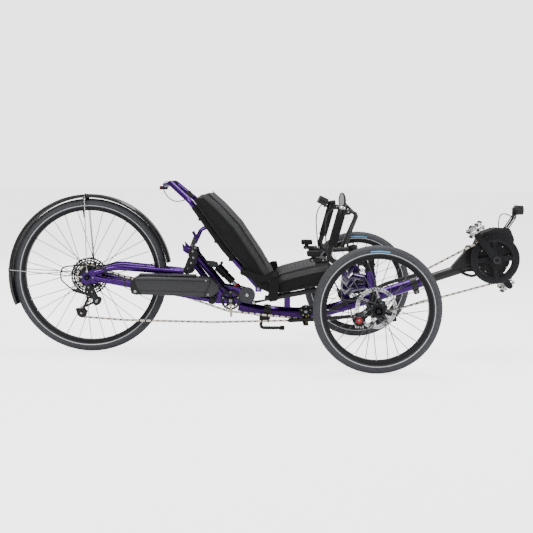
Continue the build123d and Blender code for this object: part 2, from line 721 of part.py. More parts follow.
def brake_caliper(side):
    """Two halves over the edge of the rotor, with the pad adjuster outside."""
    jaw = [(-40, 214), (-54, 228), (-92, 208), (-80, 178), (-56, 172), (-36, 190)]
    inner = plate(jaw, side * 345.2, 9, 5)
    outer = plate(jaw, side * 359, 9, 5)
    bridge = [(-92, 208), (-80, 178), (-74, 178), (-83, 208)]
    solid = inner + outer + plate(bridge, side * 352, 20)
    return solid + disc(-66, side * 367, 198, 12, 10)


def handlebar(side):
    """Bar from the steerer clamp back and up to the grip, with the wrist-rest post."""
    x, y, z = kingpin_point(412, side)
    clamp = rod(kingpin_point(398.2, side), kingpin_point(426, side), 22)
    reach = [(x - 8, y, z), (-110, side * 302, 408), (-188, side * GRIP_Y, 412), (-133, side * GRIP_Y, 600)]
    bar = bent_tube(reach, 11, [60, 34]) + clamp
    bar -= rod(kingpin_point(380, side), kingpin_point(440, side), 12.55)
    bar += rod((-176, side * GRIP_Y, 412), (-230, side * GRIP_Y, 406), 9)
    bar += rod((-224, side * GRIP_Y, 404), (-226, side * GRIP_Y, 417), 6)
    return bar


def grip(side):
    return sleeve((-166.5, side * GRIP_Y, 476), (-136, side * GRIP_Y, 589), 16.5, 11)


def wrist_rest(side):
    """Padded rest on a post behind the bar."""
    y = side * GRIP_Y
    base = block((-252, -192), (y - 20, y + 20), (414, 425), 4)
    pad = block((-262, -214), (y - 24, y + 24), (433, 453), 7)
    return base + pad + rod((-238, y, 423), (-238, y, 436), 9)


def brake_lever(side):
    y = side * GRIP_Y
    pivot = disc(-108, y, 604, 5, 26)
    blade = bent_tube([(-108, y, 604), (-66, y, 600), (-100, y, 524), (-108, y, 470)], 5, [12, 40])
    return pivot + blade


def lever_housing(side):
    """Clamp round the bar top with the two ears that hold the brake lever."""
    y = side * GRIP_Y
    collar = sleeve((-137, side * GRIP_Y, 589.4), (-132, side * GRIP_Y, 612), 16, 11)
    ears = plate([(-128, 592), (-100, 594), (-98, 612), (-126, 614)], y, 40, 3)
    ears -= block((-118, -80), (y - 13.5, y + 13.5), (580, 625))
    ears -= disc(-108, y, 604, 5 + RUN_GAP, 60)
    reservoir = rod((-147, y, 616), (-112, y, 624), 9)
    bar_hole = rod((-150, y, 540), (-118, y, 660), 11)
    solid = collar + (ears - bar_hole) + reservoir
    return solid


def shifter():
    """Thumb shifter turning on the inner side of the right bar."""
    barrel = rod((-131, -GRIP_Y + 22, 607), (-131, -GRIP_Y + 36, 607), 14)
    paddle = plate([(-131, 600), (-122, 612), (-84, 608), (-80, 600)], -GRIP_Y + 31, 7, 3)
    return barrel + paddle - disc(-131, -GRIP_Y + 29, 607, 4 + RUN_GAP, 30)


def shifter_pin():
    return rod((-131, -GRIP_Y + 16, 607), (-131, -GRIP_Y + 40, 607), 4)


def display():
    """Small screen on the left bar top."""
    case = block((-190, -140), (GRIP_Y - 32, GRIP_Y + 32), (630, 650), 5)
    post = rod((-162, GRIP_Y - 16, 602), (-162, GRIP_Y - 16, 634), 5)
    arm = rod((-164, GRIP_Y - 18, 606), (-144, GRIP_Y - 4, 606), 5)
    return case + post + arm - rod((-139, GRIP_Y, 580), (-129.8, GRIP_Y, 622), 16.4)


def mirror():
    """Round mirror on a stalk fixed to the left bar."""
    stalk = bent_tube([MIRROR_FOOT, (-14, MIRROR_FOOT[1], 566), (-74, MIRROR_FOOT[1], 622)], 9, 18)
    head = rod((-82, MIRROR_FOOT[1], 628), (-68, MIRROR_FOOT[1], 628), 37)
    return stalk + head


def mirror_socket():
    """Seat for the mirror stalk on a short arm from the left bar."""
    x, y, z = MIRROR_FOOT
    lean = Vector(-14 - x, 0, 566 - z).normalized()
    top, foot = Vector(x, y, z) - lean * RUN_GAP, Vector(x, y, z) - lean * 16
    socket = rod(tuple(foot), tuple(top), 11)
    arm = rod((-104, 303, 408), (foot.X + 2, y, foot.Z + 7), 6)
    return socket + arm


def tie_rod():
    """Track rod below the spine with an eye and a stud at each end."""
    low = tie_point(-16, 1)
    bar = rod((low[0], 6 - TIE_Y, low[2]), (low[0], TIE_Y - 6, low[2]), 6.5)
    for side in SIDES.values():
        bar += rod(tie_point(-24, side), tie_point(-8.5, side), 10)
        bar += rod(tie_point(-12, side), tie_point(14, side), 4)
    return bar


# Chain and held cables

CHAIN_BAR = 2.8
COG_R = 48.7


def wrapped_run(centre, radius, y, angles, far_points):
    """A chain run that wraps a wheel between two angles and leaves it at the ends given."""
    x, z = centre
    ends = []
    for angle in angles:
        at = polar(x, z, radius, angle)
        ends.append((at[0], y, at[1]))
    turn = math.radians(angles[0])
    section = Plane(origin=ends[0], z_dir=(-math.sin(turn), 0, math.cos(turn))) * Circle(CHAIN_BAR)
    run = revolve(section, axis=Axis((x, y, z), (0, -1, 0)), revolution_arc=angles[1] - angles[0])
    for end, far in zip(ends, far_points):
        if far:
            run += rod(end, far, CHAIN_BAR)
    return run


def chain_front():
    """Round the chainring and back to the two chain tubes."""
    far = ((64, -CHAINLINE, 169), (200, -CHAINLINE, 339))
    return wrapped_run((CRANK_X, CRANK_Z), CHAIN_R, -CHAINLINE, (-73.2, 118.3), far)


def chain_mid():
    """Power run from the pivot sprocket through its tube, and the return run through the other."""
    power = [
        (-552, SPROCKET_Y, 178), (-430, -56, 162), (-238.6, -50, 148.6), (78, -50, 301), (196, -52, 337.4),
    ]
    back = [(-636, -70, 137), (-326, -76, 147), (-219, -76, 153), (-40, -72, 168), (58, -68, 181)]
    return group(
        bent_tube(power, CHAIN_BAR, [120, 60, 200]),
        bent_tube(back, CHAIN_BAR, [300, 300, 300]),
    )


def chain_rear():
    """Power run off the top of the cassette, and the return run from the jockey wheels."""
    far = ((-580, SPROCKET_Y + 0.5, 181.5), None)
    upper = wrapped_run((REAR_X, REAR_R), COG_R, -CHAIN_Y, (71.6, 262), far)
    lower = bent_tube(
        [
            (-1148, -CHAIN_Y, 269), (-1127, -CHAIN_Y, 262), (-1128, -CHAIN_Y, 232), (-1205, -CHAIN_Y, 172),
            (-1196, -CHAIN_Y, 143), (-1000, -50, 139), (-641, -70, 137),
        ],
        CHAIN_BAR, [8, 10, 14, 10, 300],
    )
    return group(upper, lower)


def brake_hose(side):
    """Hose from the lever housing down the bar and in to the caliper."""
    y = side * GRIP_Y
    points = [
        (-150, y, 616), (-180, side * 300, 604), (-190, side * 322, 500), (-180, side * 336, 400),
        (-150, side * 340, 320), (-115, side * 342, 256), (-93, side * 345, 222),
    ]
    return bent_tube(points, 2.5, [12, 60, 60, 60, 40])


def gear_hose():
    """Housing loop behind the derailleur."""
    points = [(-1060, -92, 350), (-1120, -93, 372), (-1256, -93, 366), (-1256, -93, 308), (-1200, -91, 263.6)]
    return bent_tube(points, 2.5, [50, 42, 30])


def lamp_lead():
    """Loop from the headlight bracket to the motor top."""
    return bent_tube([(598, -20, 576), (556, -20, 584), (540, -18, 556), (548, -16, 532)], 2.2, [16, 14])


def tail_lead():
    """Lead from the tail lamp down to the left back rail."""
    return bent_tube([(-846, 4, 679), (-840, 40, 648), (-796, 100, 618), (-752, 138, 640)], 2.2, [24, 30])


# The nodes

def nodes():
    made = {
        "main_frame": main_frame(),
        "frame_clamps": group(boom_clamp(), stand_clamp()),
        "idler_bracket": idler_bracket(),
        "chain_tubes": chain_tubes(),
        "seat_base_frame": seat_base_frame(),
        "seat_base_cushion": seat_base_cushion(),
        "chain_mid": chain_mid(),
        "boom": boom(),
        "motor_housing": motor_housing(),
        "motor_covers": motor_covers(),
        "headlight_bracket": group(headlight_bracket(), lamp_lead()),
        "chain_front": chain_front(),
        "headlight": group(headlight(), headlight_lens()),
        "crankset": crankset(),
        "chainring": chainring(),
        "front_idler": front_idler(),
        "stand_leg": stand_leg(),
        "fold_latch": fold_latch(),
        "tower": tower(),
        "frame_pins": group(frame_pins(), hinge_pulley()),
        "pivot_sprocket": pivot_sprocket(),
        "swingarm": group(swingarm(), rear_axle()),
        "shock_bracket": shock_bracket(),
        "battery": group(battery(), *battery_mounts()),
        "rear_fender": rear_fender(),
        "fender_stays": fender_stays(),
        "derailleur_body": group(derailleur_body(), gear_hose()),
        "chain_rear": chain_rear(),
        "derailleur_cage": derailleur_cage(),
        "jockey_upper": jockey(JOCKEY_UP),
        "jockey_lower": jockey(JOCKEY_LOW),
        "rear_tyre": tyre(REAR_X, 0, REAR_R, REAR_R, REAR_RIM_R),
        "rear_wheel": rear_wheel(),
        "cassette": cassette(),
        "shock_can": shock_can(),
        "shock_shaft": shock_shaft(),
        "seat_back_frame": seat_back_frame(),
        "seat_back_cushion": seat_back_cushion(),
        "seat_strut": seat_strut(),
        "tail_light": group(tail_light(), tail_lead()),
        "tie_rod": tie_rod(),
        "shifter": shifter(),
        "mirror": mirror(),
        "display": display(),
    }
    for name, side in SIDES.items():
        made[f"tyre_{name}"] = tyre(0, side * WHEEL_Y, FRONT_R, FRONT_R, FRONT_RIM_R)
        made[f"wheel_{name}"] = front_wheel(side)
        made[f"rotor_{name}"] = brake_rotor(side)
        made[f"knuckle_{name}"] = knuckle(side)
        made[f"brake_caliper_{name}"] = group(brake_caliper(side), brake_hose(side))
        made[f"brake_lever_{name}"] = brake_lever(side)
        made[f"pedal_{name}"] = pedal(side)
        extras = [shifter_pin()] if name == "right" else [mirror_socket()]
        made[f"handlebar_{name}"] = group(
            handlebar(side), grip(side), wrist_rest(side), lever_housing(side), *extras
        )
    return made


def main():
    os.makedirs("parts", exist_ok=True)
    for name, shape in nodes().items():
        placed = [solid.moved(Location((FRONT_AXLE_X, 0, 0))) for solid in shape.solids()]
        export_step(group(*placed), f"parts/{name}.step")


if __name__ == "__main__":
    main()
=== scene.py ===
import math
import random

import bmesh
import bpy
from mathutils import Matrix, Vector


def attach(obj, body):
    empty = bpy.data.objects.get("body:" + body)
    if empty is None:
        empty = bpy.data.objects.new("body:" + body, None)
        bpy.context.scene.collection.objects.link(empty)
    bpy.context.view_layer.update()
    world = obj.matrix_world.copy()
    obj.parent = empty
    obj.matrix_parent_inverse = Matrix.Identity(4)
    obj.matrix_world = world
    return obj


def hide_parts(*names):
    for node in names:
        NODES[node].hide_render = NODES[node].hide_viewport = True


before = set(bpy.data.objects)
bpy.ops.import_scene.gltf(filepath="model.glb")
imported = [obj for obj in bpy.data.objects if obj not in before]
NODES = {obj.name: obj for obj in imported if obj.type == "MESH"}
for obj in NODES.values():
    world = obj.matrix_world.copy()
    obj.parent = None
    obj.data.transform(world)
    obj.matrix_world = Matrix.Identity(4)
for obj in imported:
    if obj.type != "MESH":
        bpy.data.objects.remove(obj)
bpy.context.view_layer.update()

# All stations are in millimetres from the front axle; AXLE_X puts them in the row frame.
AXLE_X = 411.55
FRONT_R, REAR_R, REAR_X = 243.0, 319.5, -1150.0
WHEEL_Y, ROTOR_Y, GRIP_Y, KINGPIN_Y = 397.0, 352.0, 290.0, 325
CASTER = math.radians(9.4)
BOOM_RISE = math.radians(18.4)
CRANK = (518.0, 405.0)
SPROCKET = (-564.0, 227.0)
IDLER = (-254.0, 183.0)
FOLD = (-496.0, 251.0)
CAGE = (-1112.0, 222.0)
JOCKEYS = ((-1150.0, 239.0), (-1182.0, 167.0))
PIVOT_X, PIVOT_Z = -639.0, 230.0
SEAT_SIDE = 188.0
SIDES = {"right": -1, "left": 1}
RIGHT, LEFT, UP = (0, -1, 0), (0, 1, 0), (0, 0, 1)
UPRIGHT = (-math.sin(CASTER), 0, math.cos(CASTER))
SMOOTH_LIMIT = math.radians(35.0)
SEED = 7


def mm(x, y, z):
    """A point of the row frame, in metres, from a station in millimetres."""
    return Vector(((x + AXLE_X) / 1000, y / 1000, z / 1000))


def polar(centre, radius, degrees):
    """The (x, z) pair at a radius and an angle from a centre."""
    turn = math.radians(degrees)
    return centre[0] + radius * math.cos(turn), centre[1] + radius * math.sin(turn)


def spot(place, y):
    """The point at y over an (x, z) pair."""
    return place[0], y, place[1]


def bar(a, b, half_a, half_b):
    """The four corners of a flat bar from a to b, both (x, z), with a half width at each."""
    along = Vector((b[0] - a[0], b[1] - a[1])).normalized()
    across = Vector((-along.y, along.x))
    corners = []
    for end, half in ((a, -half_a), (a, half_a), (b, half_b), (b, -half_b)):
        corners.append((end[0] + across.x * half, end[1] + across.y * half))
    return corners


def stand_in_scene(name, data):
    """An object for this mesh, curve, lamp or camera, linked into the scene."""
    made = bpy.data.objects.new(name, data)
    bpy.context.scene.collection.objects.link(made)
    return made


# Materials

def material(name, colour, roughness, metallic=0.0, coat=0.0, fleck=0.12, grain=60.0, bump=0.15,
             tint=None, sheen=0.0, gloss=0.5):
    """A principled material whose colour, roughness and surface vary with position."""
    made = bpy.data.materials.new(name)
    made.use_nodes = True
    nodes, links = made.node_tree.nodes, made.node_tree.links
    shader = nodes["Principled BSDF"]
    shader.inputs["Metallic"].default_value = metallic
    shader.inputs["Coat Weight"].default_value = coat
    shader.inputs["Coat Roughness"].default_value = 0.08
    shader.inputs["Specular IOR Level"].default_value = gloss
    shader.inputs["Sheen Weight"].default_value = sheen
    place = nodes.new("ShaderNodeTexCoord")
    noise = nodes.new("ShaderNodeTexNoise")
    noise.inputs["Scale"].default_value = grain
    noise.inputs["Detail"].default_value = 5.0
    links.new(place.outputs["Object"], noise.inputs["Vector"])
    ramp = nodes.new("ShaderNodeValToRGB")
    low = [c * (1 - fleck) for c in colour]
    high = tint or [min(1.0, c * (1 + fleck)) for c in colour]
    ramp.color_ramp.elements[0].position = 0.32
    ramp.color_ramp.elements[0].color = (*low, 1)
    ramp.color_ramp.elements[1].position = 0.68
    ramp.color_ramp.elements[1].color = (*high, 1)
    links.new(noise.outputs["Fac"], ramp.inputs["Fac"])
    links.new(ramp.outputs["Color"], shader.inputs["Base Color"])
    spread = nodes.new("ShaderNodeMapRange")
    spread.inputs["To Min"].default_value = max(0.03, roughness - 0.06)
    spread.inputs["To Max"].default_value = min(1.0, roughness + 0.08)
    links.new(noise.outputs["Fac"], spread.inputs["Value"])
    links.new(spread.outputs["Result"], shader.inputs["Roughness"])
    fine = nodes.new("ShaderNodeTexNoise")
    fine.inputs["Scale"].default_value = grain * 12
    fine.inputs["Detail"].default_value = 3.0
    links.new(place.outputs["Object"], fine.inputs["Vector"])
    relief = nodes.new("ShaderNodeBump")
    relief.inputs["Strength"].default_value = bump
    relief.inputs["Distance"].default_value = 0.0004
    links.new(fine.outputs["Fac"], relief.inputs["Height"])
    links.new(relief.outputs["Normal"], shader.inputs["Normal"])
    return made


def woven(name, colour, thread, scale, roughness, strength):
    """Mesh cloth: two crossed wave bands make the weave, in object space."""
    made = material(name, colour, roughness, fleck=0.2, grain=25.0, sheen=0.05, gloss=0.12)
    nodes, links = made.node_tree.nodes, made.node_tree.links
    shader = nodes["Principled BSDF"]
    place = next(n for n in nodes if n.type == "TEX_COORD")
    bands = []
    for direction in ("X", "Y", "Z"):
        wave = nodes.new("ShaderNodeTexWave")
        wave.bands_direction = direction
        wave.inputs["Scale"].default_value = scale
        wave.inputs["Distortion"].default_value = 0.4
        links.new(place.outputs["Object"], wave.inputs["Vector"])
        bands.append(wave.outputs["Fac"])
    first = nodes.new("ShaderNodeMath")
    first.operation = "MAXIMUM"
    links.new(bands[0], first.inputs[0])
    links.new(bands[1], first.inputs[1])
    second = nodes.new("ShaderNodeMath")
    second.operation = "MULTIPLY"
    links.new(first.outputs[0], second.inputs[0])
    links.new(bands[2], second.inputs[1])
    mix = nodes.new("ShaderNodeMix")
    mix.data_type = "RGBA"
    ramp = next(n for n in nodes if n.type == "VALTORGB")
    links.new(second.outputs[0], mix.inputs["Factor"])
    links.new(ramp.outputs["Color"], mix.inputs["A"])
    mix.inputs["B"].default_value = (*thread, 1)
    links.new(mix.outputs["Result"], shader.inputs["Base Color"])
    weave = nodes.new("ShaderNodeBump")
    weave.inputs["Strength"].default_value = strength
    weave.inputs["Distance"].default_value = 0.0012
    links.new(second.outputs[0], weave.inputs["Height"])
    relief = next(n for n in nodes if n.type == "BUMP" and n != weave)
    links.new(relief.outputs["Normal"], weave.inputs["Normal"])
    links.new(weave.outputs["Normal"], shader.inputs["Normal"])
    return made


PAINT = material("violet_metallic", (0.044, 0.006, 0.120), 0.22, 0.90, 0.3, 0.3, 260.0, 0.05,
                 tint=(0.070, 0.012, 0.190))
BLACK = material("black_satin_paint", (0.010, 0.010, 0.011), 0.38, 0.0, 0.15, 0.25, 90.0, 0.12,
                 gloss=0.35)
GLOSS = material("black_gloss", (0.008, 0.008, 0.009), 0.14, 0.0, 0.5, 0.2, 40.0, 0.04)
ANODISED = material("black_anodised", (0.016, 0.016, 0.018), 0.36, 0.5, 0.0, 0.25, 120.0, 0.15,
                    gloss=0.3)
DARK = material("dark_grey_alloy", (0.042, 0.043, 0.047), 0.40, 0.6, 0.0, 0.2, 120.0, 0.15)
CASTING = material("motor_casting", (0.014, 0.014, 0.016), 0.48, 0.3, 0.0, 0.2, 160.0, 0.5,
                   gloss=0.3)
PLASTIC = material("black_moulded", (0.010, 0.010, 0.011), 0.52, 0.0, 0.0, 0.2, 150.0, 0.45,
                   gloss=0.3)
SHELL = material("battery_shell", (0.026, 0.026, 0.029), 0.42, 0.0, 0.1, 0.15, 110.0, 0.3,
                 gloss=0.4)
RUBBER = material("grip_rubber", (0.011, 0.011, 0.011), 0.75, 0.0, 0.0, 0.2, 200.0, 0.6, gloss=0.2)
TYRE = material("tyre_casing", (0.046, 0.047, 0.053), 0.60, 0.0, 0.0, 0.18, 140.0, 0.5,
                tint=(0.060, 0.061, 0.070), gloss=0.3)
STRIPE = material("reflective_line", (0.62, 0.64, 0.66), 0.35, 0.1, 0.0, 0.05, 80.0, 0.05)
PATCH = material("blue_patch", (0.10, 0.42, 0.72), 0.5, 0.0, 0.0, 0.08, 80.0, 0.05)
STEEL = material("bright_steel", (0.55, 0.55, 0.57), 0.26, 1.0, 0.0, 0.12, 200.0, 0.12)
SPOKE = material("spoke_steel", (0.055, 0.055, 0.060), 0.45, 0.4, 0.0, 0.1, 200.0, 0.05)
ROTOR = material("rotor_steel", (0.72, 0.72, 0.74), 0.22, 1.0, 0.0, 0.12, 240.0, 0.2)
ALLOY = material("polished_alloy", (0.66, 0.66, 0.68), 0.24, 1.0, 0.0, 0.1, 160.0, 0.1)
CHAIN = material("chain_steel", (0.78, 0.71, 0.58), 0.34, 0.75, 0.0, 0.2, 220.0, 0.1)
COG = material("dark_steel", (0.026, 0.026, 0.028), 0.34, 0.8, 0.0, 0.3, 200.0, 0.15)
RED = material("red_anodised", (0.42, 0.012, 0.016), 0.30, 0.55, 0.3, 0.15, 120.0, 0.1)
BRASS = material("brass_bolt", (0.60, 0.37, 0.10), 0.28, 1.0, 0.0, 0.15, 160.0, 0.1)
LENS = material("clear_lens", (0.75, 0.78, 0.80), 0.06, 0.3, 1.0, 0.05, 60.0, 0.02)
SILVERED = material("mirror_glass", (0.95, 0.96, 0.97), 0.03, 1.0, 0.0, 0.02, 20.0, 0.0)
SCREEN = material("dark_screen", (0.012, 0.014, 0.018), 0.08, 0.0, 1.0, 0.1, 30.0, 0.0)
RED_LENS = material("red_lens", (0.50, 0.010, 0.012), 0.12, 0.0, 1.0, 0.1, 60.0, 0.05)
BEIGE = material("beige_tab", (0.52, 0.44, 0.34), 0.6, 0.0, 0.0, 0.1, 80.0, 0.2)
CLOTH = woven("seat_side_cloth", (0.011, 0.011, 0.012), (0.018, 0.018, 0.019), 110.0, 0.82, 0.5)
MESH = woven("seat_face_mesh", (0.034, 0.034, 0.035), (0.066, 0.066, 0.069), 75.0, 0.86, 0.8)
WEBBING = woven("strap_webbing", (0.008, 0.008, 0.009), (0.018, 0.018, 0.020), 140.0, 0.7, 0.6)
PIPING = material("seat_piping", (0.012, 0.012, 0.013), 0.55, 0.0, 0.0, 0.2, 150.0, 0.4, gloss=0.25)
HOSE = material("hose_jacket", (0.010, 0.010, 0.011), 0.45, 0.0, 0.1, 0.15, 120.0, 0.1, gloss=0.3)


# Mesh building

class Piece:
    """Collects shaped parts, then becomes one object that rides on a CAD body."""

    def __init__(self, name):
        self.name = name
        self.verts, self.faces, self.slots, self.smooth = [], [], [], []
        self.materials = []

    def add(self, verts, faces, finish, smooth=True):
        if finish not in self.materials:
            self.materials.append(finish)
        start = len(self.verts)
        self.verts.extend(verts)
        for face in faces:
            self.faces.append([start + i for i in face])
            self.slots.append(self.materials.index(finish))
            self.smooth.append(smooth)
        return self

    def loft(self, rings, finish, caps=True, around=True, smooth=True):
        """Skin between rings that hold the same number of points."""
        size = len(rings[0])
        verts = [p for ring in rings for p in ring]
        faces = []
        for row in range(len(rings) - 1):
            for i in range(size if around else size - 1):
                j = (i + 1) % size
                faces.append((row * size + i, row * size + j, (row + 1) * size + j,
                              (row + 1) * size + i))
        if caps:
            faces.append(tuple(reversed(range(size))))
            faces.append(tuple(len(verts) - size + i for i in range(size)))
        return self.add(verts, faces, finish, smooth)

    def tube(self, points, radius, finish, sides=14):
        """A round bar along points given in millimetres; radius may be one value or one a point."""
        path = [mm(*p) for p in points]
        radii = radius if isinstance(radius, (list, tuple)) else [radius] * len(path)
        rings, side = [], None
        for i, at in enumerate(path):
            before, after = path[max(i - 1, 0)], path[min(i + 1, len(path) - 1)]
            along = (after - before).normalized()
            if side is None:
                side = along.orthogonal().normalized()
            side = (side - along * side.dot(along)).normalized()
            up = along.cross(side)
            r = radii[i] / 1000
            turns = [2 * math.pi * k / sides for k in range(sides)]
            rings.append([at + side * (r * math.cos(t)) + up * (r * math.sin(t)) for t in turns])
        return self.loft(rings, finish)

    def lathe(self, origin, axis, profile, finish, sides=32, closed=False, smooth=True):
        """Turns (distance along, radius) pairs about an axis through origin, in millimetres."""
        centre, along = mm(*origin), Vector(axis).normalized()
        side = along.orthogonal().normalized()
        up = along.cross(side)
        rings = []
        for k in range(sides):
            t = 2 * math.pi * k / sides
            out = side * math.cos(t) + up * math.sin(t)
            rings.append([centre + along * (d / 1000) + out * (max(r, 0.02) / 1000) for d,
                          r in profile])
        rings.append(rings[0])
        return self.loft(rings, finish, caps=False, around=closed, smooth=smooth)

    def knob(self, origin, axis, radius, length, finish, edge=1.0, sides=20):
        """A capped round boss with a chamfered far edge."""
        edge = min(edge, radius * 0.45, length * 0.45)
        profile = [(0, 0), (0, radius - edge * 0.3), (edge * 0.3, radius), (length - edge, radius),
                   (length, radius - edge), (length, 0)]
        return self.lathe(origin, axis, profile, finish, sides)

    def bolt(self, origin, axis, radius, finish):
        """A socket-head screw with a hexagon recess."""
        profile = [(0, radius * 1.3), (0.8, radius * 1.3), (0.8, radius), (radius * 0.9, radius),
                   (radius * 1.1, radius * 0.85), (radius * 1.1, radius * 0.5)]
        self.lathe(origin, axis, profile, finish, 16)
        recess = [(radius * 1.1, radius * 0.5), (radius * 0.3, radius * 0.5), (radius * 0.3, 0)]
        return self.lathe(origin, axis, recess, COG, 6, smooth=False)

    def slab(self, outline, y, thick, finish, edge=1.2):
        """A flat side plate from (x, z) corners with chamfered edges."""
        middle = Vector((sum(p[0] for p in outline), sum(p[1] for p in outline))) / len(outline)
        inner = []
        for p in outline:
            v = Vector(p) - middle
            inner.append(middle + v * (1 - min(edge / max(v.length, 1e-6), 0.4)))
        half = thick / 2
        edge = min(edge, half * 0.6)
        rings = []
        for ring, offset in ((inner, -half), (outline, -half + edge), (outline, half - edge),
                             (inner, half)):
            rings.append([mm(p[0], y + offset, p[1]) for p in ring])
        return self.loft(rings, finish, smooth=False)

    def ring_gear(self, centre, y, thick, outer, inner, finish):
        """A flat annulus between an outer and an inner loop of as many points."""
        size = len(outer)
        rings = []
        for offset, loop in ((-thick / 2, outer), (thick / 2, outer), (thick / 2, inner),
                             (-thick / 2, inner)):
            rings.append([mm(centre[0] + p[0], y + offset, centre[1] + p[1]) for p in loop])
        verts = [p for ring in rings for p in ring]
        faces = []
        for row in range(4):
            for i in range(size):
                j = (i + 1) % size
                other = (row + 1) % 4
                faces.append((row * size + i, row * size + j, other * size + j, other * size + i))
        return self.add(verts, faces, finish, smooth=False)

    def collar(self, origin, axis, bore, radius, length, finish, sides=28):
        """A plain sleeve round an axis."""
        profile = [(0, bore), (0, radius), (length, radius), (length, bore)]
        return self.lathe(origin, axis, profile, finish, sides, closed=True)

    def box(self, low, high, finish, edge=2.0, turn=0.0):
        """A block with rounded-off edges, turned in degrees about the cross axis."""
        shape = bmesh.new()
        bmesh.ops.create_cube(shape, size=1.0)
        size = [b - a for a, b in zip(low, high)]
        middle = [(a + b) / 2 for a, b in zip(low, high)]
        for v in shape.verts:
            v.co = Vector([v.co[i] * size[i] for i in range(3)])
        bmesh.ops.bevel(shape, geom=list(shape.edges), offset=min(edge, min(size) * 0.45),
                        segments=2, profile=0.6, affect="EDGES")
        spin = Matrix.Rotation(math.radians(turn), 3, "Y")
        verts = []
        for v in shape.verts:
            p = spin @ v.co
            verts.append(mm(middle[0] + p.x, middle[1] + p.y, middle[2] + p.z))
        faces = [[v.index for v in f.verts] for f in shape.faces]
        shape.free()
        return self.add(verts, faces, finish, smooth=False)

    def done(self, body, replaces=()):
        mesh = bpy.data.meshes.new(self.name)
        mesh.from_pydata([tuple(v) for v in self.verts], [], self.faces)
        for finish in self.materials:
            mesh.materials.append(finish)
        mesh.polygons.foreach_set("material_index", self.slots)
        mesh.polygons.foreach_set("use_smooth", self.smooth)
        mesh.update()
        shape = bmesh.new()
        shape.from_mesh(mesh)
        bmesh.ops.remove_doubles(shape, verts=shape.verts, dist=2e-6)
        bmesh.ops.recalc_face_normals(shape, faces=shape.faces)
        for edge in shape.edges:
            if len(edge.link_faces) == 2 and edge.calc_face_angle(0) > SMOOTH_LIMIT:
                edge.smooth = False
        shape.to_mesh(mesh)
        shape.free()
        made = stand_in_scene(self.name, mesh)
        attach(made, body)
        if replaces:
            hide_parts(*replaces)
        return made


def curve_piece(name, points, radius, finish, body):
    """A hose or lead on one smooth NURBS line through control points in millimetres."""
    line = bpy.data.curves.new(name, "CURVE")
    line.dimensions = "3D"
    line.bevel_depth = radius / 1000
    line.bevel_resolution = 4
    line.resolution_u = 12
    line.use_fill_caps = True
    spline = line.splines.new("NURBS")
    spline.points.add(len(points) - 1)
    for at, p in zip(spline.points, points):
        at.co = (*mm(*p), 1)
    spline.order_u = 3
    spline.use_endpoint_u = True
    line.materials.append(finish)
    made = stand_in_scene(name, line)
    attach(made, body)
    return made


def paint(node, finish, rules=()):
    """Gives a CAD node its material, with others for faces picked out by a rule on their middle."""
    part = NODES[node]
    part.data.materials.clear()
    part.data.materials.append(finish)
    for _, other in rules:
        part.data.materials.append(other)
    for face in part.data.polygons:
        at = face.center * 1000
        at.x -= AXLE_X
        face.material_index = 0
        for index, (test, _) in enumerate(rules):
            if test(at):
                face.material_index = index + 1


# Camera, floor and light

LENS_MM, SENSOR_MM = 60.7, 36.0
CAMERA_AT = (-0.00595, -3.728, 0.7484)
CAMERA_TILT, CAMERA_ROLL = math.radians(84.08), math.radians(0.47)


def camera():
    lens = bpy.data.cameras.new("camera")
    lens.lens, lens.sensor_width = LENS_MM, SENSOR_MM
    lens.clip_start, lens.clip_end = 0.1, 100.0
    made = stand_in_scene("camera", lens)
    tilt = Matrix.Rotation(CAMERA_TILT, 4, "X") @ Matrix.Rotation(CAMERA_ROLL, 4, "Z")
    made.matrix_world = Matrix.Translation(CAMERA_AT) @ tilt
    bpy.context.scene.camera = made


def seen_only(tree, socket, lighting, seen):
    """Gives the floor or the sky one brightness as light and another as the backdrop itself."""
    path = tree.nodes.new("ShaderNodeLightPath")
    span = tree.nodes.new("ShaderNodeMapRange")
    span.inputs["To Min"].default_value = lighting
    span.inputs["To Max"].default_value = seen
    tree.links.new(path.outputs["Is Camera Ray"], span.inputs["Value"])
    tree.links.new(span.outputs["Result"], socket)


FLOOR_SEEN, SKY_LIGHT, SKY_SEEN = 2.4, 0.45, 3.0


def studio():
    floor_shape = bmesh.new()
    bmesh.ops.create_circle(floor_shape, cap_ends=True, segments=96, radius=40.0)
    mesh = bpy.data.meshes.new("floor")
    floor_shape.to_mesh(mesh)
    floor_shape.free()
    floor = stand_in_scene("floor", mesh)
    pale = material("pale_floor", (0.90, 0.90, 0.90), 0.85, fleck=0.01, grain=2.0, bump=0.0,
                    gloss=0.0)
    shader = pale.node_tree.nodes["Principled BSDF"]
    shader.inputs["Emission Color"].default_value = (1.0, 1.0, 1.0, 1)
    seen_only(pale.node_tree, shader.inputs["Emission Strength"], 0.0, FLOOR_SEEN)
    floor.data.materials.append(pale)
    world = bpy.data.worlds.new("studio")
    world.use_nodes = True
    backdrop = world.node_tree.nodes["Background"]
    backdrop.inputs["Color"].default_value = (1.0, 1.0, 1.0, 1)
    seen_only(world.node_tree, backdrop.inputs["Strength"], SKY_LIGHT, SKY_SEEN)
    bpy.context.scene.world = world
    lamps = (
        ("key", (-1.6, -3.4, 2.6), (0.0, 0.0, 0.3), 1.6, 95),
        ("top", (0.3, 0.2, 3.2), (0.0, 0.0, 0.3), 2.0, 95),
        ("front", (3.2, -1.6, 1.4), (0.3, 0.0, 0.3), 1.2, 55),
        ("back", (-2.6, 3.0, 2.2), (0.0, 0.0, 0.3), 1.6, 55),
    )
    for name, at, target, size, power in lamps:
        light = bpy.data.lights.new(name, "AREA")
        light.size, light.energy = size, power
        lamp = stand_in_scene(name, light)
        lamp.location = at
        lamp.rotation_euler = (Vector(target) - Vector(at)).to_track_quat("-Z", "Y").to_euler()


camera()
studio()


# CAD nodes that stay, each in its own finish

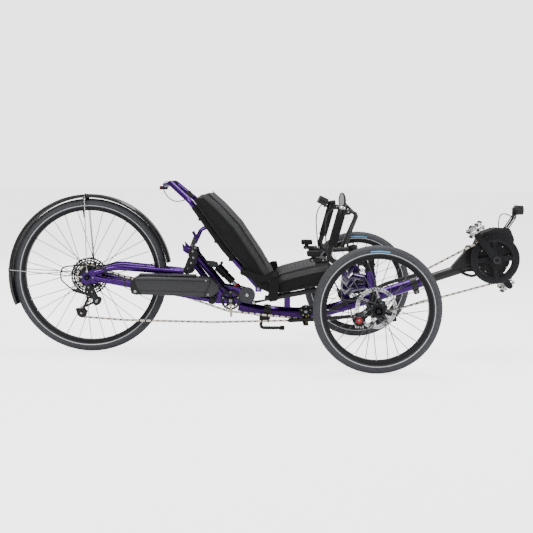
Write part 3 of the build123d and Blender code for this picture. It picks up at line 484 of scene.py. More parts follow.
def near(x, z, radius):
    """A rule that picks faces round an axis across the trike."""
    return lambda p: math.hypot(p.x - x, p.z - z) < radius


def wheel_rules(x, z, rim_inner, hub):
    """The rule that gives a wheel's spokes their own finish."""
    spoke = lambda p: hub < math.hypot(p.x - x, p.z - z) < rim_inner
    return [(spoke, SPOKE)]


def paint_nodes():
    """Every CAD node that stays gets its finish."""
    ear_plate = [(lambda p: abs(p.y) > SEAT_SIDE, CLOTH)]
    axle_end = [(lambda p: near(REAR_X, REAR_R, 13)(p) and abs(p.y) > 78.5, COG)]
    paint("swingarm", PAINT, axle_end)
    paint("seat_back_frame", PAINT, ear_plate)
    paint("seat_base_frame", BLACK, ear_plate)
    plain = {
        "frame_clamps": BLACK, "idler_bracket": BLACK, "boom": BLACK, "motor_housing": CASTING,
        "headlight_bracket": BLACK, "crankset": ANODISED, "stand_leg": BLACK,
        "fold_latch": ANODISED,
        "shock_bracket": DARK, "rear_fender": GLOSS, "fender_stays": STEEL,
        "derailleur_body": PLASTIC,
        "derailleur_cage": DARK, "shock_shaft": STEEL, "seat_strut": PAINT, "tail_light": PLASTIC,
        "tie_rod": BLACK, "chain_tubes": PLASTIC, "main_frame": PAINT, "tower": PAINT,
        "display": PLASTIC, "shifter": PLASTIC,
    }
    for name, finish in plain.items():
        paint(name, finish)
    bolt_head = (lambda p: p.y < -64 and near(*FOLD, 9)(p), STEEL)
    paint("frame_pins", COG, [bolt_head, (near(*FOLD, 34), DARK)])
    for name in SIDES:
        paint(f"knuckle_{name}", ANODISED)
        paint(f"handlebar_{name}", BLACK)
        paint(f"wheel_{name}", ANODISED, wheel_rules(0, FRONT_R, 191, 29))
        paint(f"brake_lever_{name}", DARK)
    paint("rear_wheel", ANODISED, wheel_rules(REAR_X, REAR_R, 269, 30))
    for part in NODES.values():
        for face in part.data.polygons:
            face.use_smooth = True


paint_nodes()


# Wheels

TYRE_SECTION = 20.0
PATCH_HALF, PATCH_LOW, PATCH_HIGH = 9.5, 88, 100


def tyre(name, body, node, x, y, radius, patch=None):
    """A casing lathe with tread shoulders, a reflective line and a moulded bead."""
    section, stripe = TYRE_SECTION, TYRE_SECTION + 0.35
    centre = radius - section
    steps = 26
    profile = []
    for k in range(steps + 1):
        turn = math.radians(-146 + 292 * k / steps)
        bulge = section * (1.0 if abs(turn) < 2.2 else 0.97)
        out, across = bulge * math.cos(turn), bulge * math.sin(turn)
        profile.append((across, centre + out))
    made = Piece(name)
    made.lathe((x, y, radius), RIGHT, profile, TYRE, 120)
    blocks = int(radius * 0.42)
    for row, (lean, half) in enumerate(((-34, 3.2), (-11, 3.6), (11, 3.6), (34, 3.2))):
        for k in range(blocks):
            start = 360.0 * (k + 0.5 * (row % 2)) / blocks
            width = 360.0 / blocks * 0.62
            knob = []
            for height in (section - 1.2, section):
                shrink = 1.0 if height < section - 0.5 else 0.78
                for da, dl in ((-0.5, -1), (0.5, -1), (0.5, 1), (-0.5, 1)):
                    tilt = math.radians(lean + dl * half * 57.3 / section * shrink)
                    ring_radius = centre + height * math.cos(tilt)
                    px, pz = polar((x, radius), ring_radius, start + da * width * shrink)
                    knob.append(mm(px, y + height * math.sin(tilt), pz))
            faces = [(4, 5, 6, 7), (0, 1, 5, 4), (1, 2, 6, 5), (2, 3, 7, 6), (3, 0, 4, 7)]
            made.add(knob, faces, TYRE, smooth=False)
    for side in (-1, 1):
        line = []
        for turn in (112, 119):
            t = math.radians(turn)
            line.append((side * stripe * math.sin(t), centre + stripe * math.cos(t)))
        made.lathe((x, y, radius), RIGHT, line, STRIPE, 120)
        if patch:
            rings = []
            for k in range(9):
                angle = patch - PATCH_HALF + 2 * PATCH_HALF * k / 8
                ring = []
                for turn in (PATCH_LOW, PATCH_HIGH):
                    t = math.radians(turn)
                    edge = polar((x, radius), centre + stripe * math.cos(t), angle)
                    ring.append(mm(*spot(edge, y + side * stripe * math.sin(t))))
                rings.append(ring)
            made.loft(rings, PATCH, caps=False, around=False)
    return made.done(body, (node,))


def nipples(name, body, x, y, radius, rim_inner, count, hub_radius, flanges, lead):
    """Spokes drawn over the CAD ones, with bright nipples, heads at the hub and the valve."""
    made = Piece(name)
    for index in range(count):
        flange = flanges[index % 2]
        way = 1 if (index // 2) % 2 else -1
        at_rim = 360.0 * index / count
        inner = polar((x, radius), hub_radius, at_rim + way * lead)
        outer = polar((x, radius), rim_inner, at_rim)
        start = Vector(spot(inner, y + flange + way * 2.2))
        end = Vector(spot(outer, y + math.copysign(3.0, flange)))
        along = (end - start).normalized()
        made.tube([start, end - along * 10], 1.6, SPOKE, 6)
        made.tube([end - along * 11, end - along * 9, end + along * 1], [1.2, 1.9, 2.1], ALLOY, 8)
        made.lathe(spot(inner, y + flange), (0, way, 0), [(2, 2.6), (3.4, 2.0), (3.8, 0)], SPOKE, 8)
    valve = polar((x, radius), rim_inner, 96)
    tip = polar((x, radius), rim_inner - 30, 96)
    made.tube([spot(valve, y), spot(tip, y)], [3.2, 2.8], COG, 10)
    return made.done(body)


def round_loop(radius, size, wave=0.0):
    """A loop of points; a wave gives it twelve lobes."""
    loop = []
    for k in range(size):
        loop.append(polar((0, 0), radius + wave * math.sin(math.radians(360 * 12 * k / size)),
                          360 * k / size))
    return loop


def rotor(name, body, side):
    """Disc brake rotor: two rims joined by slanted bars, on a black carrier with silver arms."""
    made = Piece(f"rotor_{name}_disc")
    y = side * ROTOR_Y
    centre = (0, FRONT_R)
    steps = 144
    made.ring_gear(centre, y, 1.9, round_loop(79.2, steps, 0.7), round_loop(75.4, steps), ROTOR)
    made.ring_gear(centre, y, 1.9, round_loop(67.6, steps), round_loop(64.4, steps, 0.6), ROTOR)
    bars = 42
    for k in range(bars):
        low = polar(centre, 67.0, 360 * k / bars)
        high = polar(centre, 76.0, 360 * k / bars + 7.5)
        made.slab(bar(low, high, 2.6, 2.6), y, 1.8, ROTOR, 0.3)
    for k in range(6):
        inner = polar(centre, 24, 60 * k)
        outer = polar(centre, 66.5, 60 * k + 28)
        made.slab(bar(inner, outer, 5.2, 3.6), y, 1.8, ROTOR, 0.4)
        bolt = polar(centre, 22.5, 60 * k + 5)
        made.bolt(spot(bolt, y + side * 1.5), (0, side, 0), 2.4, STEEL)
    made.ring_gear(centre, y, 3.0, round_loop(40.0, steps, 3.0), round_loop(15, steps), PLASTIC)
    return made.done(body, (f"rotor_{name}",))


def hub_cap(name, body, side):
    """The dished cover and axle bolt on the outside of a front hub."""
    made = Piece(name)
    y = side * (WHEEL_Y + 30.2)
    made.lathe((0, y, FRONT_R), (0, side, 0), [(-4, 17.3), (0, 17.3), (2.5, 16), (2.5, 15.1)],
               ANODISED, 40)
    for k in range(5):
        at = polar((0, FRONT_R), 30.5, 72 * k)
        made.knob(spot(at, side * (WHEEL_Y + 21)), (0, side, 0), 1.6, 4.5, STEEL, 0.4, 8)
    return made.done(body)


for side_name, side_sign in SIDES.items():
    wheel = f"front_wheel_{side_name}"
    tyre(f"tyre_{side_name}_casing", wheel, f"tyre_{side_name}", 0, side_sign * WHEEL_Y, FRONT_R,
         89)
    nipples(f"nipples_{side_name}", wheel, 0, side_sign * WHEEL_Y, FRONT_R, 192.5, 28, 25.5,
            (-24, 24), 52)
    rotor(side_name, wheel, side_sign)
    hub_cap(f"hub_cap_{side_name}", wheel, side_sign)
tyre("rear_tyre_casing", "rear_wheel_body", "rear_tyre", REAR_X, 0, REAR_R)
nipples("rear_nipples", "rear_wheel_body", REAR_X, 0, REAR_R, 271, 32, 26.5, (-19, 41), 58)


# Toothed wheels

TOOTH_STEPS = 8


def toothed_loop(teeth, root, tip):
    """A loop of points with rounded teeth."""
    loop = []
    for k in range(teeth * TOOTH_STEPS):
        phase = (k % TOOTH_STEPS) / TOOTH_STEPS
        lift = max(0.0, math.cos(2 * math.pi * phase)) ** 0.8
        loop.append(polar((0, 0), root + (tip - root) * lift, 360.0 * k / (teeth * TOOTH_STEPS)))
    return loop


def gear(made, centre, y, thick, teeth, root, tip, bore, finish):
    """A toothed disc with a round bore."""
    made.ring_gear(centre, y, thick, toothed_loop(teeth, root, tip),
                   round_loop(bore, teeth * TOOTH_STEPS), finish)


def spider(made, centre, y, thick, inner, outer, arms, first, half, finish):
    """Arms from an inner to an outer radius, a quarter wider at the root."""
    for k in range(arms):
        a = polar(centre, inner, first + 360 * k / arms)
        b = polar(centre, outer, first + 360 * k / arms)
        made.slab(bar(a, b, half * 1.25, half), y, thick, finish, 0.8)


def chainring():
    """Toothed ring, guard, four-armed spider and hub."""
    made = Piece("chainring_and_guard")
    gear(made, CRANK, -60, 2.4, 44, 88.5, 93.5, 70, COG)
    guard = [(0, 100), (1.5, 101), (3.5, 100.5), (4.2, 98), (3.4, 84), (3.8, 75.5), (2.4, 72.6),
             (0, 73.2)]
    made.lathe(spot(CRANK, -66.5), RIGHT, guard, ANODISED, 120, closed=True)
    arm = ((24, 17), (40, 10), (58, 9), (72, 13), (78, 18))
    arm_edge = [(d, h) for d, h in arm] + [(d, -h) for d, h in reversed(arm)]
    for k in range(4):
        turn = 90 * k + 5
        outline = []
        for d, h in arm_edge:
            outline.append(polar(CRANK, math.hypot(d, h), turn + math.degrees(math.atan2(h, d))))
        made.slab(outline, -64.4, 5.0, ANODISED, 1.4)
        at = polar(CRANK, 74, turn)
        made.bolt(spot(at, -67.5), RIGHT, 4.0, DARK)
    made.lathe(spot(CRANK, -57), RIGHT,
               [(0, 12.3), (0, 30), (3, 32), (16, 31), (20, 27), (26, 26), (26, 12.3)], ANODISED,
               48, closed=True)
    return made.done("crank", ("chainring",))


def cassette():
    """Nine sprockets on their carrier."""
    made = Piece("cassette_sprockets")
    centre = (REAR_X, REAR_R)
    sprockets = ((80, 40), (70, 34), (60, 30), (52, 26), (45, 22), (40, 20), (35, 17), (30, 15),
                 (26, 13))
    for index, (radius, teeth) in enumerate(sprockets):
        y = -26 - 4.2 * index
        band = 10.5 if index < 5 else 12
        bore = max(radius - band, 18)
        finish = COG if index < 7 else DARK
        gear(made, centre, y, 1.8, teeth, radius - 4.2, radius - 0.2, bore, finish)
        if index < 5:
            spider(made, centre, y, 1.6, 20, radius - band + 1.5, 7, 11 * index, 3.2, COG)
    made.lathe((REAR_X, -24, REAR_R), RIGHT, [(0, 6.3), (0, 19), (38, 18.4), (40, 16), (40, 6.3)],
               DARK, 40, closed=True)
    for k in range(16):
        at = polar(centre, 15, 22.5 * k)
        made.box((at[0] - 1, -64.6, at[1] - 1), (at[0] + 1, -63, at[1] + 1), COG, 0.3)
    return made.done("cassette_body", ("cassette",))


def idler_wheels():
    """Front idler, fold wheel and both jockey wheels."""
    front = Piece("front_idler_wheel")
    gear(front, IDLER, -52, 3.4, 15, 25.5, 30, 11, PLASTIC)
    front.ring_gear(IDLER, -60, 2.4, round_loop(27, 64), round_loop(22, 64), ANODISED)
    spider(front, IDLER, -60, 2.4, 11, 22.6, 5, 18, 3, ANODISED)
    front.lathe(spot(IDLER, -46.2), RIGHT,
                [(0, 5.3), (0, 12), (2, 12.6), (15, 12), (16, 11), (16, 5.3)], ANODISED, 32,
                closed=True)
    for k in range(5):
        at = polar(IDLER, 19, 72 * k + 18)
        front.bolt(spot(at, -61.1), RIGHT, 1.9, STEEL)
    front.done("idler", ("front_idler",))
    middle = Piece("pivot_sprocket_wheel")
    gear(middle, SPROCKET, -58, 3.4, 22, 39.5, 43.8, 31, COG)
    spider(middle, SPROCKET, -58, 3.8, 12, 33, 5, 20, 4.6, COG)
    for k in range(5):
        at = polar(SPROCKET, 33, 72 * k + 20)
        middle.bolt(spot(at, -59.8), RIGHT, 2.2, STEEL)
    middle.lathe(spot(SPROCKET, -54.2), RIGHT,
                 [(0, 6.3), (0, 13), (1, 14), (9, 14), (10.6, 12), (10.6, 6.3)], ANODISED, 36,
                 closed=True)
    middle.done("sprocket", ("pivot_sprocket",))
    for label, centre in zip(("upper", "lower"), JOCKEYS):
        jockey = Piece(f"jockey_wheel_{label}")
        gear(jockey, centre, -42.8, 2.4, 11, 12.6, 17.2, 7, PLASTIC)
        jockey.lathe(spot(centre, -38), RIGHT,
                     [(0, 3.2), (0, 7), (1, 8), (8.6, 8), (9.6, 7), (9.6, 3.2)], DARK, 24,
                     closed=True)
        jockey.done(f"jockey_{label}_body", (f"jockey_{label}",))


chainring()
cassette()
idler_wheels()


# Chain: separate links laid along each run

PITCH = 12.7


def arc(centre, radius, y, first, last, count):
    """Points along an arc in a side plane, from one angle to another."""
    points = []
    for k in range(count + 1):
        points.append(spot(polar(centre, radius, first + (last - first) * k / count), y))
    return points


def chain(name, body, node, runs):
    """Links of even length along each run, inner and outer by turns."""
    made = Piece(name)
    for run in runs:
        path = [Vector(p) for p in run]
        lengths = [0.0]
        for a, b in zip(path, path[1:]):
            lengths.append(lengths[-1] + (b - a).length)

        def at(distance):
            distance = min(max(distance, 0.0), lengths[-1] - 1e-6)
            i = max(k for k in range(len(path) - 1) if lengths[k] <= distance)
            share = (distance - lengths[i]) / (lengths[i + 1] - lengths[i])
            return path[i].lerp(path[i + 1], share)
        count = int(lengths[-1] / PITCH)
        step = lengths[-1] / count
        for k in range(count):
            a, b = at(k * step), at((k + 1) * step)
            link(made, a, b, k % 2 == 0)
    return made.done(body, (node,))


def link(made, a, b, outer):
    """One link between two pins: two plates with a waist, and a roller."""
    along = (b - a).normalized()
    up = Vector(LEFT).cross(along).normalized()
    across = along.cross(up)
    middle, reach = (a + b) / 2, (b - a).length / 2
    gap, thick = 2.7 if outer else 1.7, 0.9
    top = [(-reach - 2.4, 3.5), (-reach + 1.2, 4.3), (0, 3.4), (reach - 1.2, 4.3),
           (reach + 2.4, 3.5)]
    under = [(u, -v) for u, v in reversed(top)]
    shape = [(-reach - 3.9, 0.0), *top, (reach + 3.9, 0.0), *under]
    for way in (-1, 1):
        rings = []
        for offset in (gap, gap + thick):
            rings.append([mm(*(middle + along * u + up * v + across * (way * offset))) for u,
                          v in shape])
        made.loft(rings, CHAIN if outer else COG, smooth=False)
    if outer:
        for pin in (a, b):
            made.tube([pin - across * 3.9, pin + across * 3.9], 1.8, STEEL, 8)
            made.tube([pin - across * 1.6, pin + across * 1.6], 3.4, CHAIN, 8)


def chains():
    front = arc(CRANK, 94, -60, 118.3, -73.2, 30)
    chain("chain_front_links", "boom_unit", "chain_front",
          [[(196, -53, 337.5), *front, (62, -67, 181)]])
    power = arc(IDLER, 33.5, -52, -100, -66, 6)
    chain("chain_middle_links", "frame", "chain_mid", [
        [(-560, -58, 180.0), (-552, -58, 179), *power, (-216, -50.5, 159.6)],
        [(-636, -70, 137), (-480, -73, 142), (-324, -76, 147.2)],
    ])
    top = arc((REAR_X, REAR_R), 47.5, -42.8, 262, 71.6, 22)
    upper = arc(JOCKEYS[0], 16, -42.8, 70, -48, 8)
    lower = arc(JOCKEYS[1], 16, -42.8, 118, 265, 12)
    chain("chain_rear_links", "rear_arm", "chain_rear", [
        [*top, (-572, -58, 180.8)],
        [(-1144, -42.8, 272), *upper, *lower, (-1000, -50, 139.5), (-641, -70, 137)],
    ])


chains()


# Seat

BOLSTER = 26.0
SWELL_CAP = 0.006
FACE_LEAN = 0.42
BACK_OUTLINE = ((-446, 288), (-400, 266), (-388, 326), (-438, 412), (-528, 546), (-600, 622),
                (-652, 667), (-688, 664), (-705, 640), (-640, 548), (-574, 458), (-504, 378))
BASE_OUTLINE = ((-378, 270), (-377, 332), (-362, 346), (-300, 364), (-245, 378), (-174, 393),
                (-145, 384), (-139, 342), (-206, 305), (-290, 288))


def cushion(name, outline, half_width, front, body, node):
    """A padded block from a side outline, its sitting face bevelled at both sides by BOLSTER.
    It is remeshed, blown out by cloth pressure, then given its faces."""
    front = Vector(front).normalized()
    middle = Vector((sum(p[0] for p in outline) / len(outline),
                     sum(p[1] for p in outline) / len(outline)))
    shape = bmesh.new()
    rings = []
    inner = half_width - BOLSTER
    for y, cut in ((-half_width, BOLSTER), (-inner, 0), (inner, 0), (half_width, BOLSTER)):
        ring = []
        for p in outline:
            v = Vector(p) - middle
            at = middle + v * (1 - 2.0 / v.length)
            if v.dot(front) > 0:
                at -= front * cut
            ring.append(shape.verts.new(mm(at.x, y, at.y)))
        rings.append(ring)
    size = len(outline)
    for a, b in zip(rings, rings[1:]):
        for i in range(size):
            j = (i + 1) % size
            shape.faces.new((a[i], a[j], b[j], b[i]))
    shape.faces.new(list(reversed(rings[0])))
    shape.faces.new(rings[-1])
    bmesh.ops.triangulate(shape, faces=[f for f in shape.faces if len(f.verts) > 4])
    bmesh.ops.recalc_face_normals(shape, faces=shape.faces)
    mesh = bpy.data.meshes.new(name)
    shape.to_mesh(mesh)
    shape.free()
    made = stand_in_scene(name, mesh)
    bpy.context.view_layer.objects.active = made
    remesh = made.modifiers.new("remesh", "REMESH")
    remesh.mode = "VOXEL"
    remesh.voxel_size = 0.006
    bake_modifiers(made)
    swell(made)
    smooth = made.modifiers.new("smooth", "SMOOTH")
    smooth.factor, smooth.iterations = 0.5, 2
    sub = made.modifiers.new("sub", "SUBSURF")
    sub.levels = sub.render_levels = 1
    bake_modifiers(made)
    made.data.materials.append(CLOTH)
    made.data.materials.append(MESH)
    for face in made.data.polygons:
        face.use_smooth = True
        toward = face.normal.x * front.x + face.normal.z * front.y
        face.material_index = 1 if toward > FACE_LEAN else 0
    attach(made, body)
    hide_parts(node)
    return made


def bake_modifiers(made):
    """Makes the modified shape the object's own mesh."""
    depsgraph = bpy.context.evaluated_depsgraph_get()
    final = bpy.data.meshes.new_from_object(made.evaluated_get(depsgraph))
    made.modifiers.clear()
    made.data = final


def swell(made):
    """Cloth pressure from inside, with each point's travel capped."""
    start = [v.co.copy() for v in made.data.vertices]
    cloth = made.modifiers.new("cloth", "CLOTH")
    cloth.settings.quality = 4
    cloth.settings.use_pressure = True
    cloth.settings.uniform_pressure_force = 4.0
    cloth.settings.effector_weights.gravity = 0.0
    cloth.settings.tension_stiffness = 20.0
    cloth.settings.compression_stiffness = 20.0
    cloth.point_cache.frame_start, cloth.point_cache.frame_end = 1, 20
    for step in range(1, 21):
        bpy.context.scene.frame_set(step)
    bake_modifiers(made)
    bpy.context.scene.frame_set(1)
    for v, rest in zip(made.data.vertices, start):
        move = v.co - rest
        if move.length > SWELL_CAP:
            v.co = rest + move.normalized() * SWELL_CAP
    made.data.update()


def seams():
    """Piping along the bevels and the rear edges of both cushions."""
    back = Piece("seat_back_piping")
    front_edge = [(-405, 287), (-393, 326), (-437, 413), (-527, 548), (-600, 624), (-651, 670)]
    rear_edge = [(-437, 303), (-503, 380), (-573, 459), (-640, 550), (-706, 641)]
    for side in (-1, 1):
        outer = [(x - 0.78 * BOLSTER, side * 188.5, z - 0.62 * BOLSTER) for x, z in front_edge[1:]]
        back.tube(outer, 2.2, PIPING, 8)
        back.tube([(x - 1, side * (189 - BOLSTER), z - 1) for x, z in front_edge[1:]], 2.0, PIPING,
                  8)
        back.tube([(x, side * 186, z) for x, z in rear_edge], 2.4, PIPING, 8)
    back.done("seat_back")
    base = Piece("seat_base_piping")
    top_edge = [(-377, 336), (-362, 349), (-300, 367), (-245, 381), (-174, 396), (-145, 387)]
    low_edge = [(-378, 272), (-290, 290), (-206, 307), (-139, 343)]
    for side in (-1, 1):
        base.tube([(x, side * 185.5, z - 3 - BOLSTER) for x, z in top_edge], 2.2, PIPING, 8)
        base.tube([(x, side * (186 - BOLSTER), z - 3) for x, z in top_edge], 2.0, PIPING, 8)
        base.tube([(x, side * 184, z) for x, z in low_edge], 2.2, PIPING, 8)
    base.done("frame")


def straps():
    """Lacing straps, buckles and rail sleeves across the back of the seat."""
    made = Piece("seat_back_straps")
    nx, nz = -0.72, -0.69
    for x, z in ((-500, 372), (-546, 424), (-604, 496), (-668, 584)):
        for side in (-1, 1):
            points = []
            for share in (0.0, 0.25, 0.5, 0.75, 1.0):
                y = side * (20 + 122 * share)
                lift = 13 + 2.5 * math.sin(share * math.pi)
                points.append((x + nx * lift, y, z + nz * lift))
            strap(made, points, 12.5, 1.6)
            sleeve = [(x + nx * 14, side * 150, z + nz * 14 + rise) for rise in (-16, 16)]
            made.tube(sleeve, 13.2, CLOTH, 16)
        low = (x + nx * 14 - 12, -24, z + nz * 14 - 16)
        high = (x + nx * 14 + 6, 24, z + nz * 14 + 16)
        made.box(low, high, PLASTIC, 3)
    for side in (-1, 1):
        made.tube([(x, side * 150, z) for x,
                   z in ((-708, 615), (-650, 535), (-587, 448), (-560, 418))], 12.6, CLOTH, 20)
    made.done("seat_back")


def strap(made, points, half, thick):
    """A flat band along points, its width in the seat back's slope."""
    tilt = Vector((-0.62, 0, 0.78))
    face = Vector((0.78, 0, 0.62))
    rings = []
    for p in points:
        at = Vector(p)
        corners = ((-half, -thick), (half, -thick), (half, thick), (-half, thick))
        rings.append([mm(*(at + tilt * u + face * (v / 2))) for u, v in corners])
    made.loft(rings, WEBBING, smooth=False)


cushion("seat_back_pad", BACK_OUTLINE, SEAT_SIDE, (0.78, 0.62), "seat_back", "seat_back_cushion")
cushion("seat_base_pad", BASE_OUTLINE, SEAT_SIDE - 3, (-0.2, 1.0), "frame", "seat_base_cushion")
seams()
straps()


# Motor, battery and suspension

def motor():
    """Side covers with bolts and ribs, then the seams, bolts and cable of the housing."""
    made = Piece("motor_side_covers")
    face = 42
    for side, radius, rise in ((-1, 66, 6.6), (1, 60, 7.6)):
        profile = [(0, radius), (rise - 2, radius), (rise, radius - 2.5), (rise, radius - 9),
                   (rise - 1.6, radius - 11), (rise - 1.6, radius - 24), (rise, radius - 26),
                   (rise, 24), (rise - 1.5, 22), (rise - 1.5, 14.6)]
        made.lathe(spot(CRANK, side * face), (0, side, 0), profile, CASTING, 72)
        for k in range(8):
            at = polar(CRANK, radius - 5, 45 * k + 12)
            made.bolt(spot(at, side * (face + rise - 0.2)), (0, side, 0), 2.2, STEEL)
        for k in range(24):
            a = polar(CRANK, radius - 22.5, 15 * k)
            b = polar(CRANK, radius - 12.5, 15 * k)
            y = side * (face + rise - 1.2)
            made.tube([spot(a, y), spot(b, y)], 0.9, CASTING, 6)
    made.done("boom_unit", ("motor_covers",))
    trim = Piece("motor_trim")
    edge = [(449, 348), (449, 460), (471, 509), (520, 527), (582, 523), (597, 488), (591, 421),
            (564, 355), (520, 333)]
    for y in (-29, 0, 29):
        path = [(x + (x - 518) * 0.012, y, z + (z - 425) * 0.012) for x, z in edge]
        trim.tube([*path, path[0]], 1.1 if y else 1.6, CASTING, 6)
    trim.box((524, -22, 526.5), (588, 22, 531), PLASTIC, 1.5, turn=3.5)
    for x in (532, 580):
        for y in (-16, 16):
            trim.bolt((x, y, 530.5 if x < 550 else 528), UP, 2.0, STEEL)
    for side in (-1, 1):
        for x, z in ((462, 372), (462, 440), (486, 494)):
            trim.bolt((x, side * 42, z), (0, side, 0), 3.0, STEEL)
    trim.tube([(384, -18, 354), (398, -21, 343), (414, -24, 336), (432, -26, 332), (446, -26, 334),
               (456, -26, 346)], 6.0, HOSE, 12)
    trim.done("boom_unit")


CRANK_TURN, CRANK_ARM = 129.5, 165


def crank_details():
    """Axle caps, pedal axle ends and the groove down each crank arm."""
    made = Piece("crank_caps")
    for side in (-1, 1):
        made.lathe(spot(CRANK, side * 98.4), (0, side, 0),
                   [(0, 15), (0.8, 15), (0.8, 9.5), (-1.0, 9), (-1.0, 0)], DARK, 36)
        way = -side
        tip = polar(CRANK, way * CRANK_ARM, CRANK_TURN)
        made.lathe(spot(tip, side * 98), (0, side, 0), [(0, 9.5), (1.2, 9), (1.4, 6), (1.4, 5.2)],
                   STEEL, 24)
        a, b = polar(CRANK, way * 34, CRANK_TURN), polar(CRANK, way * 142, CRANK_TURN)
        made.slab(bar(a, b, 2.4, 1.68), side * 97.8, 1.0, CASTING, 0.3)
    made.done("crank")


def pedal(side, name):
    """Silver clip-in body with black spring clips above and below, on its axle tube."""
    x, z = polar(CRANK, -side * CRANK_ARM, CRANK_TURN)
    y = side * 150
    made = Piece(f"pedal_{name}_platform")
    turn = math.radians(35)
    ux, uz = math.cos(turn), math.sin(turn)

    def place(u, v, w):
        return x + ux * u - uz * v, y + w, z + uz * u + ux * v
    made.lathe((x, y - 38, z), LEFT,
               [(0, 5.2), (0, 9), (2, 11), (12, 11), (16, 9.4), (60, 9.4), (64, 11), (74, 11),
                (76, 9), (76, 5.2)], ALLOY, 28)
    made.box((x - 25, y - 24, z - 9), (x + 25, y + 24, z + 9), ALLOY, 5, turn=-35)
    made.box((x - 17, y - 19, z - 15), (x + 17, y + 19, z + 15), ALLOY, 5, turn=-35)
    for w in (-31, 31):
        path = [place(u, 0, w) for u in (-30, -24, -10, 0, 10, 24, 30)]
        made.tube(path, [4, 6.5, 8.4, 10.2, 8.4, 6.5, 4], ALLOY, 14)
    for u in (-26, 26):
        made.tube([place(u, 0, w) for w in (-36, -18, 18, 36)], [4.5, 6, 6, 4.5], ALLOY, 14)
    for face in (-1, 1):
        for w in (-22, -12, 12, 22):
            path = [place(face * 16, face * 6, w), place(face * 26, face * 14, w),
                    place(face * 30, face * 16, w)]
            made.tube(path, [4.4, 4.4, 3], ALLOY, 10)
        made.tube([place(face * 31, face * 15, w) for w in (-26, -14, 14, 26)], [3.4, 5, 5, 3.4],
                  COG, 12)
        made.tube([place(face * 14, face * 15, w) for w in (-24, -12, 12, 24)], [3, 4, 4, 3], COG,
                  12)
        made.tube([place(-face * 27, face * 13, w) for w in (-22, -10, 10, 22)], [3, 4.6, 4.6, 3],
                  ALLOY, 12)
        made.tube([place(-face * 31, face * 6, w) for w in (-24, 24)], 3.6, COG, 12)
        made.bolt(place(face * 27, face * 18, 0), RIGHT, 3.0, COG)
    for w in (-35.5, 35.5):
        for u in (-22, 22):
            made.bolt(place(u, 0, w), (0, math.copysign(1, w), 0), 2.6, COG)
    made.done(f"pedal_{name}_body", (f"pedal_{name}",))


BATTERY_Y, BATTERY_ROUND = -119, 0.34
BATTERY_SECTIONS = (
    (-965.5, 278, 304, 16), (-962, 267, 313, 23), (-952, 259.5, 325, 28), (-938, 257.5, 334, 30.4),
    (-900, 256.5, 337.4, 31),
    (-800, 254, 334.8, 31), (-700, 251.8, 332.2, 31), (-650, 250.6, 330.6, 31),
    (-636, 252.5, 327, 30.6),
    (-618, 264, 311, 29), (-609, 276, 301, 25), (-605, 284, 296, 16),
)


def battery():
    """A rounded shell with seams, its rail, end plate, mounts and cable."""
    made = Piece("battery_shell")
    rings = []
    for x, low, high, half in BATTERY_SECTIONS:
        middle, tall = (low + high) / 2, (high - low) / 2
        ring = []
        for k in range(40):
            t = 2 * math.pi * k / 40
            c, s = math.cos(t), math.sin(t)
            across = half * math.copysign(abs(c) ** BATTERY_ROUND, c)
            rise = tall * math.copysign(abs(s) ** BATTERY_ROUND, s)
            ring.append(mm(x, BATTERY_Y + across, middle + rise))
        rings.append(ring)
    made.loft(rings, SHELL)
    for z, r in ((318, 1.5), (274, 1.0)):
        made.tube([(-944, -149.7, z + 1.5), (-800, -150.1, z), (-646, -150.1, z - 3)], r, PLASTIC,
                  6)
    made.tube([(-668, -150.2, 252), (-664, -150.4, 266), (-646, -150.4, 300), (-640, -150, 326)],
              1.5, PLASTIC, 8)
    made.box((-930, -146, 336), (-700, -104, 341), DARK, 1.4, turn=0.7)
    made.slab([(-965, 290), (-960, 264), (-940, 258), (-922, 260), (-940, 296), (-950, 318),
               (-960, 312)], -149.8, 4, PLASTIC, 1.4)
    for x, z, r in ((-660, 318, 3.0), (-944, 272, 4.4), (-652, 262, 3.0)):
        made.bolt((x, -150.0 if r < 4 else -151.8, z), RIGHT, r, STEEL)
    for x, z in ((-900, 281), (-700, 265)):
        made.box((x - 15, -89, z - 9), (x + 15, -83.6, z + 13), BLACK, 1.5)
        made.bolt((x - 8, -89, z), LEFT, 2.4, STEEL)
    made.tube([(-608, -112, 290), (-596, -106, 287), (-580, -92, 270), (-572, -84, 252)], 4.0, HOSE,
              12)
    made.done("rear_arm", ("battery",))


